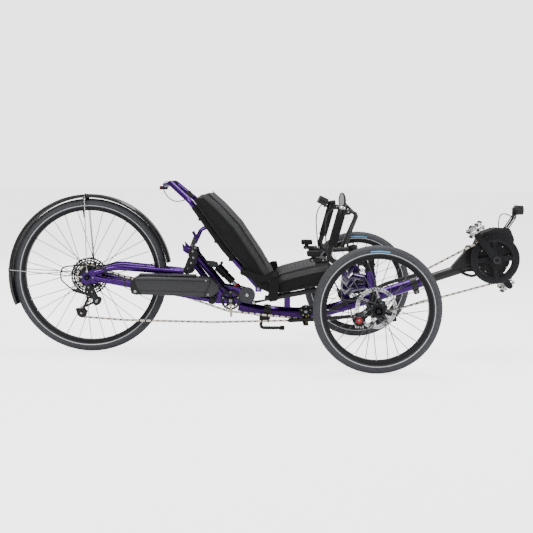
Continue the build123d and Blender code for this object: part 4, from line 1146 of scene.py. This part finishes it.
def shock():
    """The air can with its upper eye, and the dial and seal on the shaft."""
    low, high = Vector((-523, 0, 263)), Vector((-630, 0, 369))
    along = (high - low).normalized()
    start = tuple(low)
    axis = tuple(along)
    can = Piece("shock_air_can")
    can.lathe(start, axis, [(48, 8.4), (48, 15), (50, 16), (54, 15.2), (88, 15.2), (90, 19),
                            (93, 19.4), (98, 18.6), (128, 18.6), (132, 19.2), (138, 18), (141, 12),
                            (141, 0)], ANODISED, 48)
    for d in (60, 66, 72, 78):
        can.lathe(start, axis, [(d, 15.1), (d + 1, 15.9), (d + 2.4, 15.9), (d + 3.4, 15.1)],
                  ANODISED, 48)
    eye = high
    can.lathe((eye.x, -11, eye.z), LEFT,
              [(0, 5.2), (0, 10), (1.5, 11), (20.5, 11), (22, 10), (22, 5.2)], ANODISED, 32,
              closed=True)
    for side in (-1, 1):
        can.knob((eye.x, side * 11, eye.z), (0, side, 0), 7, 3, DARK, 0.6)
    can.lathe((-607, 9, 371), (0.5, 0.25, 0.83), [(0, 6), (9, 6), (10, 5), (10, 0)], ANODISED, 18)
    can.done("shock_upper", ("shock_can",))
    trim = Piece("shock_rebound_dial")
    trim.lathe(start, axis, [(22, 8.1), (22, 12.8), (23.5, 13.4), (29, 13.4), (30, 12.6),
                             (30, 8.1)], RED, 40, closed=True)
    trim.lathe(start, axis, [(12, 8.1), (12, 12.2), (21, 12.2), (21, 8.1)], ANODISED, 36,
               closed=True)
    for side in (-1, 1):
        trim.knob((low.x, side * 10, low.z), (0, side, 0), 8, 2.4, DARK, 0.6)
    trim.done("shock_lower")


motor()
crank_details()
for side_name, side_sign in SIDES.items():
    pedal(side_sign, side_name)
battery()
shock()


# Brakes, controls, mirror and lamps

def caliper(side, name):
    """One brake caliper with its finned pads, adjuster and hose."""
    made = Piece(f"caliper_{name}")
    jaw = [(-40, 214), (-54, 228), (-78, 222), (-92, 206), (-88, 188), (-76, 176), (-56, 172),
           (-40, 184)]
    for y, thick in ((345.2, 8.6), (359, 9)):
        made.slab(jaw, side * y, thick, PLASTIC if y < 350 else ANODISED, 2.2)
    made.slab([(-92, 206), (-88, 188), (-78, 180), (-76, 190), (-82, 204)], side * 352, 19,
              ANODISED, 1.6)
    made.lathe((-66, side * 363.4, 198), (0, side, 0),
               [(0, 13), (2, 13.6), (7, 13.2), (9.4, 11), (9.4, 5.5), (7.6, 5), (7.6, 0)], RED, 12,
               smooth=False)
    made.bolt((-66, side * 371, 198), (0, side, 0), 2.6, STEEL)
    for x, z in ((-46, 218), (-46, 190), (-82, 212)):
        made.bolt((x, side * 363.5, z), (0, side, 0), 2.6, STEEL)
    made.tube([(-93, side * 345, 218), (-91, side * 345, 210)], 4.2, STEEL, 12)
    for k in range(4):
        x = -76 + 9 * k
        made.box((x - 1.6, side * 352 - 8, 166), (x + 1.6, side * 352 + 8, 177), STEEL, 0.5)
    body = f"steer_{name}"
    made.done(body, (f"brake_caliper_{name}",))
    route = [(-148, side * 290, 616), (-176, side * 291, 618), (-198, side * 312, 566),
             (-192, side * 324, 480), (-182, side * 336, 400), (-152, side * 341, 322),
             (-114, side * 343, 262), (-93, side * 345, 236), (-93, side * 345, 216)]
    curve_piece(f"brake_hose_{name}", route, 2.5, HOSE, body)


def controls(side, name):
    """One side's grip, wrist rest and bar clamp."""
    body = f"steer_{name}"
    y = side * GRIP_Y
    low, high = Vector((-166.5, y, 476)), Vector((-136, y, 589))
    along = (high - low).normalized()
    grip = Piece(f"grip_{name}")
    profile = [(-1, 11.5), (-1, 17.6), (3, 18.4), (7, 17.4)]
    for k in range(20):
        d = 9 + 5.0 * k
        profile += [(d, 16.9), (d + 1, 17.7), (d + 3, 17.7), (d + 4, 16.9)]
    profile += [(111, 17.4), (114, 18.4), (117.5, 17.8), (118, 11.5)]
    grip.lathe(tuple(low), tuple(along), profile, RUBBER, 32)
    grip.lathe(tuple(low), tuple(along), [(118.5, 11.2), (118.5, 17), (126, 17), (126, 11.2)],
               ANODISED, 32)
    cap = ALLOY if side < 0 else RUBBER
    grip.lathe((-132, y, 611.6), tuple(along),
               [(0, 12), (2, 15), (8, 15.6), (13, 14), (16, 9), (17, 0)], cap, 24)
    grip.done(body)
    rest = Piece(f"wrist_rest_{name}")
    rest.box((-263, y - 25, 432.5), (-213, y + 25, 454), RUBBER, 7)
    rest.box((-253, y - 21, 413), (-191, y + 21, 426), PLASTIC, 4)
    for x in (-243, -201):
        rest.bolt((x, y - 21, 419.5), RIGHT, 2.4, STEEL)
        rest.bolt((x, y + 21, 419.5), LEFT, 2.4, STEEL)
    rest.lathe((-238, y, 424), UP, [(0, 9.2), (1, 11), (3, 11), (4, 9.2)], DARK, 24)
    rest.done(body)
    clamp = Piece(f"bar_clamp_{name}")
    foot = (-(398 - FRONT_R) * math.tan(CASTER), side * KINGPIN_Y, 398)
    for d in (3, 16):
        clamp.lathe(foot, UPRIGHT, [(d, 22.2), (d + 1, 23.2), (d + 7, 23.2), (d + 8, 22.2)],
                    ANODISED, 32)
    clamp.lathe(foot, UPRIGHT, [(28, 22), (29, 16), (32, 12), (33, 0)], ANODISED, 32)
    for d in (7, 20):
        at = Vector(foot) + Vector(UPRIGHT) * d
        clamp.bolt((at.x + 20, at.y - side * 6, at.z), (1, -side * 0.3, 0), 2.8, STEEL)
    clamp.done(body)


def levers():
    """Brake levers with their housings, the gear lever and the screen."""
    for name, side in SIDES.items():
        y = side * GRIP_Y
        made = Piece(f"brake_lever_{name}_blade")
        made.tube([(-108, y, 604), (-92, y, 603), (-78, y, 599), (-73, y, 588), (-82, y, 563),
                   (-93, y, 535), (-101, y, 512), (-105, y, 492),
                   (-108, y, 471)], [6.4, 6.2, 5.6, 5.2, 5.0, 4.8, 4.8, 4.8, 4.2], DARK, 14)
        made.lathe((-108, y - 13, 604), LEFT, [(0, 3), (0, 6.6), (26, 6.6), (26, 3)], DARK, 20)
        made.done(f"lever_{name}", (f"brake_lever_{name}",))
        tank = Piece(f"lever_body_{name}")
        tank.lathe((-147.4, y, 616), (0.975, 0, 0.222),
                   [(0, 0), (0, 8), (2, 9.6), (33, 9.6), (36, 8.6), (36.5, 0)], PLASTIC, 24)
        tank.box((-142, y - 7, 624.5), (-120, y + 7, 630), PLASTIC, 1.4, turn=-12)
        for px in (-138, -124):
            tank.bolt((px, y - 4, 628 + (px + 138) * 0.2), UP, 1.5, STEEL)
        tank.bolt((-108, y - 20, 604), RIGHT, 3.0, STEEL)
        tank.bolt((-108, y + 20, 604), LEFT, 3.0, STEEL)
        tank.done(f"steer_{name}")
    thumb = Piece("thumb_shifter")
    thumb.lathe((-131, -268, 607), LEFT,
                [(0, 4.3), (0, 12.5), (1.5, 14), (12.5, 14), (14, 12.5), (14, 4.3)], PLASTIC, 32,
                closed=True)
    thumb.slab([(-131, 601), (-122, 613), (-100, 613), (-84, 609), (-78, 603), (-86, 600)], -259, 7,
               DARK, 1.6)
    thumb.done("shift", ("shifter",))
    screen = Piece("display_unit")
    screen.box((-191, 260, 611), (-147, 320, 645), SHELL, 5, turn=26)
    screen.box((-180.6, 265, 642.6), (-142.4, 315, 644.6), SCREEN, 0.6, turn=26)
    for k in range(3):
        screen.box((-182 + 12 * k, 257.6, 629 - 6 * k), (-174 + 12 * k, 262, 636 - 6 * k), RUBBER,
                   1.2, turn=26)
    screen.tube([(-162, 274, 602), (-162, 274, 634)], 5, PLASTIC, 16)
    screen.tube([(-164, 272, 606), (-150, 281, 606)], 5, PLASTIC, 16)
    screen.done("steer_left", ("display",))


MIRROR_AT, MIRROR_TURN = (-82, 345, 628), math.radians(16)
HEADLIGHT_AT, TAIL_AT = (600, 0, 605), (-828, 0, 686)


def mirror():
    """The stalk and the round head, turned by MIRROR_TURN."""
    made = Piece("mirror_round")
    made.tube([(-72, 345, 424), (-56, 345, 463), (-35, 345, 515), (-22, 345, 548), (-20, 345, 566),
               (-34, 345, 584), (-58, 345, 606),
               (-70, 345, 618)], [9.2, 9, 7.5, 6.5, 6.2, 6.2, 7, 8], BLACK, 18)
    facing = Vector((math.cos(MIRROR_TURN), math.sin(MIRROR_TURN), 0))
    shell = [(2.2, 0), (2.2, 34), (0, 35), (0, 36.6), (2, 37), (8, 36.4), (12, 30), (14, 16),
             (14, 0)]
    made.lathe(MIRROR_AT, facing, shell, PLASTIC, 56)
    made.lathe(MIRROR_AT, -facing, [(-2.0, 34), (-1.6, 20), (-1.4, 0)], SILVERED, 56)
    made.done("mirror_arm", ("mirror",))


def lamps():
    """The headlight on its bracket and the tail lamp, each with its lead."""
    head = Piece("headlight_body")
    head.lathe(HEADLIGHT_AT, (1, 0, 0),
               [(0, 0), (0, 11), (2, 13), (5, 14), (8, 20), (10, 21), (12, 20), (14, 21), (16, 20),
                (18, 21), (20.5, 20), (24, 19.4), (38, 19.2), (42, 18.6), (42.4, 17),
                (39, 16)], PLASTIC, 48)
    head.lathe(HEADLIGHT_AT, (1, 0, 0), [(39, 16.2), (40.6, 14), (42.2, 8), (42.6, 0)], LENS, 48)
    head.slab([(599.5, 572), (612.5, 572), (613, 596), (599, 596)], 0, 19, PLASTIC, 1.6)
    head.done("lamp", ("headlight",))
    arm = Piece("headlight_links")
    for side in (-1, 1):
        y = side * 13
        for a, b in (((569, 528), (601, 580)), ((579, 526), (611, 574))):
            arm.tube([spot(a, y), spot(b, y)], 2.8, PLASTIC, 10)
        arm.collar((606, y - 1.6, 578), LEFT, 3.2, 7.4, 3.2, DARK, 24)
        arm.collar((574, y - 1.6, 529), LEFT, 3.2, 7.4, 3.2, DARK, 24)
        arm.bolt((606, side * 14.6, 578), (0, side, 0), 3.0, STEEL)
        arm.bolt((574, side * 14.6, 531), (0, side, 0), 3.0, STEEL)
    arm.tube([(606, -14, 578), (606, 14, 578)], 3.0, STEEL, 14)
    arm.tube([(574, -14, 530), (574, 14, 530)], 4.6, DARK, 14)
    arm.done("boom_unit", ("headlight_bracket",))
    curve_piece("headlight_lead",
                [(600, -15, 574), (580, -18, 588), (546, -20, 592), (538, -18, 560),
                 (540, -16, 527)], 2.2, HOSE, "boom_unit")
    tail = Piece("tail_lamp")
    tail.lathe(TAIL_AT, (-1, 0, 0), [(0, 0), (0, 6), (2, 8), (27, 8), (28, 8.4), (31, 8.4)],
               PLASTIC, 32)
    tail.lathe(TAIL_AT, (-1, 0, 0), [(30, 8.2), (34, 7.4), (34.4, 0)], RED_LENS, 32)
    tail.lathe((-832, -9, 700), LEFT,
               [(0, 10.2), (0, 13), (1, 13.6), (17, 13.6), (18, 13), (18, 10.2)], PLASTIC, 32,
               closed=True)
    tail.box((-838, -5, 686), (-826, 5, 690), PLASTIC, 1.2)
    tail.done("seat_back", ("tail_light",))
    curve_piece("tail_lead", [(-846, 4, 679), (-840, 40, 648), (-796, 100, 618), (-752, 138, 640)],
                2.2, HOSE, "seat_back")


def cage():
    """The chain tensioner's two open side plates, with the spacers and bolts between them."""
    made = Piece("derailleur_cage_plates")
    arm_ends = ((CAGE, JOCKEYS[0]), (JOCKEYS[0], JOCKEYS[1]), (CAGE, (-1163, 196)))
    for y in (-52.3, -34.3):
        for a, b in arm_ends:
            made.slab(bar(a, b, 4.2, 4.2), y, 3.0, PLASTIC, 0.8)
        for at, radius in ((CAGE, 13), (JOCKEYS[0], 10), (JOCKEYS[1], 12.5)):
            made.lathe(spot(at, y + 1.5), RIGHT, [(0, 0), (0, radius), (3, radius), (3, 0)],
                       PLASTIC, 28)
        made.slab([(-1206, 186), (-1198, 160), (-1180, 148), (-1164, 156), (-1160, 176),
                   (-1172, 188)], y, 2.4, PLASTIC, 1.0)
    for at in JOCKEYS:
        made.lathe(spot(at, -33.8), RIGHT, [(0, 0), (0, 3), (19, 3), (19, 0)], DARK, 14)
        made.bolt(spot(at, -53.6), RIGHT, 3.0, ALLOY)
    made.lathe(spot(CAGE, -51), RIGHT, [(0, 0), (0, 12), (17.5, 12), (17.5, 5), (37, 5), (37, 0)],
               DARK, 32)
    made.bolt(spot(CAGE, -91), RIGHT, 3.6, STEEL)
    made.done("cage", ("derailleur_cage",))


def derailleur():
    """The gear's body, its hose with both ends, and the cage."""
    made = Piece("derailleur_links")
    made.lathe((-1142, -85, 280), RIGHT,
               [(0, 12), (1.2, 13), (8.4, 13), (10, 11), (10, 6), (8.6, 5), (8.6, 0)], PLASTIC, 32)
    made.slab([(-1152, 276), (-1146, 288), (-1134, 288), (-1122, 274), (-1098, 232), (-1104, 216),
               (-1118, 214), (-1140, 252)], -86, 7.6, PLASTIC, 2.0)
    made.slab([(-1134, 270), (-1124, 270), (-1106, 238), (-1112, 232)], -90.6, 2.2, PLASTIC, 0.8)
    made.lathe((-1112, -69, 222), RIGHT,
               [(0, 5.3), (0, 16), (1.4, 17), (20, 17), (22, 15), (22, 5.3)], PLASTIC, 40,
               closed=True)
    made.tube([(-1208, -91, 270), (-1198, -91, 267), (-1172, -90, 259), (-1150, -89, 252),
               (-1134, -88, 247)], [4.6, 6.9, 6.9, 6.2, 6.2], PLASTIC, 16)
    for k in range(6):
        at = Vector((-1204, -91, 268.8)).lerp(Vector((-1182, -90.3, 262)), k / 5)
        made.lathe(tuple(at), (74, 3, -23), [(0, 6.6), (0.4, 7.6), (1.8, 7.6), (2.2, 6.6)], COG, 16)
    made.slab([(-1136, 262), (-1131, 263), (-1115, 236), (-1118, 230)], -91.4, 2.0, DARK, 0.6)
    for x, z in ((-1142, 280), (-1130, 262), (-1108, 228)):
        made.bolt((x, -94.4 if x == -1142 else -91.0, z), RIGHT, 2.6, STEEL)
    made.done("rear_arm", ("derailleur_body",))
    guide = Piece("gear_hose_ends")
    guide.tube([(-1150, -93, 373), (-1176, -93, 371.5), (-1202, -93, 368.5)], [4.4, 5.6, 4.0],
               PLASTIC, 14)
    guide.tube([(-1060, -92, 350), (-1072, -92.2, 354.4), (-1084, -92.4, 358.8)], [4.6, 4.6, 3.6],
               PLASTIC, 14)
    guide.done("rear_arm")
    cage()
    curve_piece("gear_hose", [(-1060, -92, 350), (-1120, -93, 372), (-1206, -93, 368),
                              (-1252, -93, 362), (-1256, -93, 320), (-1250, -93, 303),
                              (-1200, -91, 263.6)], 2.9, HOSE, "rear_arm")


for side_name, side_sign in SIDES.items():
    caliper(side_sign, side_name)
    controls(side_sign, side_name)
levers()
mirror()
lamps()
derailleur()


# Fasteners, weld beads and small parts on the frame

def bead(made, origin, axis, radius):
    """A weld bead: a slightly lumpy ring where a tube meets another."""
    rng = random.Random(SEED)
    centre, along = mm(*origin), Vector(axis).normalized()
    side = along.orthogonal().normalized()
    up = along.cross(side)
    rings = []
    count = 56
    for k in range(count):
        t = 2 * math.pi * k / count
        out = side * math.cos(t) + up * math.sin(t)
        swell = 1.9 + 0.5 * math.sin(k * 1.9) + rng.uniform(-0.1, 0.1)
        middle = centre + out * (radius / 1000)
        ring = []
        for s in range(8):
            u = 2 * math.pi * s / 8
            ring.append(middle + (out * math.cos(u) + along * math.sin(u)) * (swell / 1000))
        rings.append(ring)
    rings.append(rings[0])
    made.loft(rings, PAINT, caps=False)


def frame_details():
    """Weld beads, head tube races and the bolts on the main frame."""
    made = Piece("frame_welds")
    for side in SIDES.values():
        for height in (352, 325):
            x = -(height - FRONT_R) * math.tan(CASTER) - 16
            bead(made, (x, side * 309, height), (0.45, side, 0.08), 13.4)
    bead(made, (-330, 0, 191), UP, 15)
    bead(made, (-196, 0, 195), UP, 14)
    bead(made, (-84, 0, 227), (0.3, 0, 1), 9)
    made.done("frame")
    trim = Piece("head_tube_races")
    for side in SIDES.values():
        for height, length in ((313.5, 4), (382.5, 4.5)):
            x = -(height - FRONT_R) * math.tan(CASTER)
            profile = [(0, 18.05), (0.4, 19.2), (length - 0.4, 19.2), (length, 18.05)]
            trim.lathe((x, side * KINGPIN_Y, height), UPRIGHT, profile, ANODISED, 40)
    trim.done("frame")
    small = Piece("frame_fasteners")
    lug_x = 199 + 34 * math.sin(BOOM_RISE)
    lug_z = 229 + 199 * math.tan(BOOM_RISE) - 34 * 0.949
    small.bolt((lug_x, -12.2, lug_z), RIGHT, 3.4, STEEL)
    small.bolt((lug_x, 12.2, lug_z), LEFT, 3.4, STEEL)
    small.bolt((-252, -37.2, 145), RIGHT, 4.6, BRASS)
    small.tube([(-252, -60, 166), (-252, -60, 128)], 2.4, BRASS, 10)
    small.bolt(spot(IDLER, -68.2), RIGHT, 4.2, STEEL)
    small.bolt((-437, -37.6, 147), LEFT, 3.4, STEEL)
    small.bolt((-413, 0, 203), UP, 3.0, STEEL)
    for x, z in ((-331, 262), (-196, 286)):
        for y in (-13, 13):
            small.collar((x, y - 6, z), LEFT, 11.2, 13.6, 12, BLACK)
    small.knob((-470, -32.7, 214), RIGHT, 6, 2.2, STEEL, 0.6)
    small.done("frame")


def strap_clips():
    """Clips that hold the brake hoses to the bars."""
    for name, side in SIDES.items():
        made = Piece(f"cable_clip_{name}")
        for x, y, z in ((-182, 336, 398), (-146, 341, 316)):
            made.collar((x, side * y, z), (0.35, 0, -0.93), 2.6, 4.3, 7, PLASTIC, 16)
        made.done(f"steer_{name}")


def knuckle_details():
    """Stub axle nuts and bolts on both knuckles, and the tie rod's ends."""
    for name, side in SIDES.items():
        made = Piece(f"knuckle_trim_{name}")
        body = f"steer_{name}"
        made.lathe((0, side * 436, FRONT_R), (0, side, 0),
                   [(-8, 15.2), (-0.6, 15.2), (0, 14), (0, 9), (-1.4, 8.4), (-1.4, 0)], ANODISED,
                   40)
        made.lathe((0, side * 434.4, FRONT_R), (0, side, 0),
                   [(0, 7.8), (0.8, 7.4), (0.8, 3.4), (0, 0)], STEEL, 6, smooth=False)
        for x, z in ((-20, 236), (-44, 206)):
            made.bolt((x, side * 331.4, z), (0, -side, 0), 3.0, BRASS)
        for x, z in ((4, 251), (-14, 246)):
            made.bolt((x, side * 340.6, z), (0, side, 0), 2.6, BRASS)
        made.lathe((-9, side * KINGPIN_Y, 296), UPRIGHT,
                   [(0, 15.2), (1.5, 17), (9, 17), (11, 15.4)], ANODISED, 36)
        made.done(body)
    rod_ends = Piece("tie_rod_ends")
    for side in SIDES.values():
        foot = (70 + 24 * math.sin(CASTER), side * 320, 213 - 24 * math.cos(CASTER))
        rod_ends.lathe(foot, UPRIGHT, [(-0.6, 0), (-0.6, 8), (0.5, 10.6), (15, 10.6), (15.4, 8)],
                       DARK, 32)
        rod_ends.lathe((72.6, side * 296, 197.2), (0, side, 0),
                       [(-14, 6.6), (-13, 9), (-4, 9), (-4, 8.2), (10, 7.6), (12, 6.6)], STEEL, 6,
                       smooth=False)
    rod_ends.done("track_rod")


def rear_details():
    """Bolts and beads on the tower, the chain guide, the fold disc and the swingarm's fittings."""
    made = Piece("tower_fasteners")
    for side in SIDES.values():
        made.lathe(spot(FOLD, side * 41), (0, side, 0), [(0, 12), (2, 12), (3, 10.8), (3, 8.4)],
                   PAINT, 32)
        made.bolt((-566, side * 41, 236), (0, side, 0), 3.4, STEEL)
        made.bolt((-523, side * 41, 263), (0, side, 0), 3.4, STEEL)
        bead(made, (-592, side * 40, 267), (-0.63, 0, 0.78), 13.4)
        made.lathe((-722, side * 58, 428), (0, side, 0),
                   [(-1, 12.1), (0.6, 11.4), (1.4, 8), (1.4, 0)], PAINT, 32)
    made.tube([(-600, -46, 280), (-640, -46, 330), (-690, -47, 392)], 2.0, HOSE, 8)
    made.done("rear_half")
    tab = Piece("chain_guide_tab")
    tab.slab([(-569, 214), (-559, 214), (-556, 172), (-558, 158), (-565, 158), (-567, 172)], -71.5,
             2.4, BEIGE, 0.8)
    tab.bolt(spot(SPROCKET, -72.0), RIGHT, 4.6, STEEL)
    tab.slab([(-572, 234), (-556, 234), (-556, 206), (-572, 206)], -70.2, 2.4, DARK, 0.8)
    tab.done("rear_half")
    cover = Piece("fold_disc_face")
    cover.lathe(spot(FOLD, -78), RIGHT,
                [(-8.2, 31), (-8, 33.2), (-1, 33.4), (0.4, 32.4), (0.6, 29), (0.1, 27.5), (0.1, 11),
                 (1.0, 10)], TYRE, 64)
    cover.lathe(spot(FOLD, -79), RIGHT, [(0, 10.5), (1.2, 10.5), (1.6, 7), (1.6, 0)], TYRE, 32)
    cover.lathe(spot(FOLD, -80.4), RIGHT, [(0, 6.2), (1.0, 6.2), (1.4, 5.6), (1.4, 3.2), (0.6, 0)],
                STEEL, 24)
    cover.done("rear_half")
    arm = Piece("swingarm_fittings")
    for side in SIDES.values():
        arm.lathe((PIVOT_X, side * 72, PIVOT_Z), (0, side, 0),
                  [(-1, 19.1), (0.6, 18.4), (1, 13), (0.4, 9.8)], DARK, 36)
        for x in (-1000, -880, -760):
            z = 287 + (x + 960) * -0.177
            arm.lathe((x, side * (71.5 - (x + 960) * 0.0145), z + 0.5), (1, 0, -0.177),
                      [(0, 13.1), (0.4, 14), (5.6, 14), (6, 13.1)], BLACK, 28)
        bead(arm, (-800, side * 63, 263), UP, 10.6)
        bead(arm, (-800, side * 50, 331), (0, -0.2, 1), 10.6)
    arm.lathe((PIVOT_X, -87.6, PIVOT_Z), RIGHT,
              [(-7, 13.2), (-0.4, 13.2), (0.2, 12), (0.2, 6), (-1.4, 5), (-1.4, 0)], ANODISED, 36)
    for side in SIDES.values():
        arm.lathe((REAR_X, side * 90, REAR_R), (0, side, 0),
                  [(-8, 11.2), (-0.6, 11.2), (0, 10), (0, 6.5), (-2, 5.6), (-2, 0)], ANODISED, 36)
        arm.bolt((-1128, side * 78.2, 318), (0, side, 0), 2.6, STEEL)
        for angle in STAY_ANGLES:
            at = polar((REAR_X, REAR_R), 24, angle)
            arm.lathe(spot(at, side * 78), (0, side, 0),
                      [(0, 4.5), (1.2, 5), (4.6, 5), (5.6, 4), (5.6, 0)], STEEL, 16)
    for x, z in ((-732, 394), (-690, 374), (-745, 352), (-660, 372), (-716, 352)):
        for side in (-1, 1):
            arm.bolt((x, side * 17.6, z), (0, side, 0), 2.8, STEEL)
    arm.done("rear_arm")


STAY_ANGLES = (93, 176)
FENDER_R = 336.8


def fender_details():
    """Stay clamps, bands and the two ribs along the mudguard."""
    made = Piece("fender_clamps")
    centre = (REAR_X, REAR_R)
    for angle in STAY_ANGLES:
        for side in (-1, 1):
            at = polar(centre, 327, angle)
            made.box((at[0] - 7, side * 33 - 4, at[1] - 9), (at[0] + 7, side * 33 + 4, at[1] + 9),
                     PLASTIC, 2, turn=90 - angle)
            made.bolt(spot(at, side * 36.5), (0, side, 0), 2.4, STEEL)
        band = []
        for k in range(9):
            band.append(polar(centre, 338.4, angle - 1.6 + 0.4 * k))
        made.tube([spot(p, 0) for p in band], 1.4, STEEL, 8)
    for offset in (-24, 24):
        rib = []
        for k in range(70):
            rib.append(spot(polar(centre, FENDER_R, 12 + 188 * k / 69), offset))
        made.tube(rib, 0.9, GLOSS, 6)
    top = polar(centre, 338, 93)
    made.knob((top[0], 0, top[1] - 1), UP, 4.5, 4, STEEL, 0.8)
    for side in (-1, 1):
        made.tube([(top[0] - 2, side * 4, top[1] + 2), (top[0] - 2, side * 16, top[1] + 1.4),
                   (top[0] - 2, side * 30, top[1] - 6),
                   (top[0] - 2, side * 35, top[1] - 14)], 2.0, STEEL, 8)
    made.done("rear_arm")


def seat_hardware():
    """Bolts at the seat's hinge, the strut's clamps and the tail block."""
    made = Piece("seat_hinge_bolts")
    for side in (-1, 1):
        made.lathe((-383, side * 203, 352), (0, side, 0),
                   [(0, 9), (1.5, 9), (2.2, 8), (2.2, 4), (1.2, 0)], PLASTIC, 28)
    made.done("frame")
    back = Piece("seat_back_hardware")
    for side in (-1, 1):
        back.bolt((-508, side * 203, 360), (0, side, 0), 4.0, PLASTIC)
        back.bolt((-450, side * 166.4, 288), (0, side, 0), 4.0, STEEL)
        back.collar((-640, side * 27 - 9, 521), LEFT, 10.2, 13.4, 18, BLACK)
    back.slab([(-706, 471), (-699, 478), (-714, 508), (-724, 503)], -46.6, 2.2, PAINT, 0.8)
    for side in (-1, 1):
        back.slab([(-699, 489), (-717, 494), (-735, 447), (-720, 440)], side * 24, 18.4, DARK, 1.6)
        for x, z in ((-709, 486), (-726, 450)):
            back.bolt((x, side * 33.2, z), (0, side, 0), 2.6, STEEL)
    back.knob((-706, 40, 478), LEFT, 8, 6, DARK, 1.2)
    back.box((-745, -14, 646), (-727, 14, 674), PLASTIC, 3, turn=-38)
    back.done("seat_back")


def tower_plates():
    """Dark side plates with bolts on the tower's top, and the violet latch plate behind them."""
    made = Piece("tower_top_plates")
    side_view = [(-728, 444), (-704, 437), (-697, 412), (-706, 384), (-714, 366), (-742, 366),
                 (-736, 400), (-740, 424)]
    for side in SIDES.values():
        made.slab(side_view, side * 61, 4.5, PLASTIC, 1.2)
        for x, z in ((-720, 428), (-718, 402), (-727, 380)):
            made.bolt((x, side * 63.2, z), (0, side, 0), 3.2, STEEL)
        made.slab([(-764, 462), (-742, 440), (-743, 418), (-760, 428)], side * 57, 6, PAINT, 1.2)
        made.slab([(-746, 440), (-728, 440), (-728, 416), (-746, 418)], side * 57, 3.6, PAINT, 0.8)
    made.done("rear_half")


def stand_sleeve():
    """The stand's bar and the rubber sleeve on its foot."""
    made = Piece("stand_bar")
    made.tube([(-437, -56, 149), (-439, -56, 124), (-436, -56, 116), (-429, -56, 113),
               (-352, -56, 113)], 7.2, BLACK, 16)
    made.lathe((-360, -56, 113), (1, 0, 0),
               [(0, 0), (0, 8.4), (1, 9.6), (18, 9.6), (19.5, 8.4), (19.5, 0)], RUBBER, 24)
    made.done("stand")


frame_details()
tower_plates()
stand_sleeve()
strap_clips()
knuckle_details()
rear_details()
fender_details()
seat_hardware()
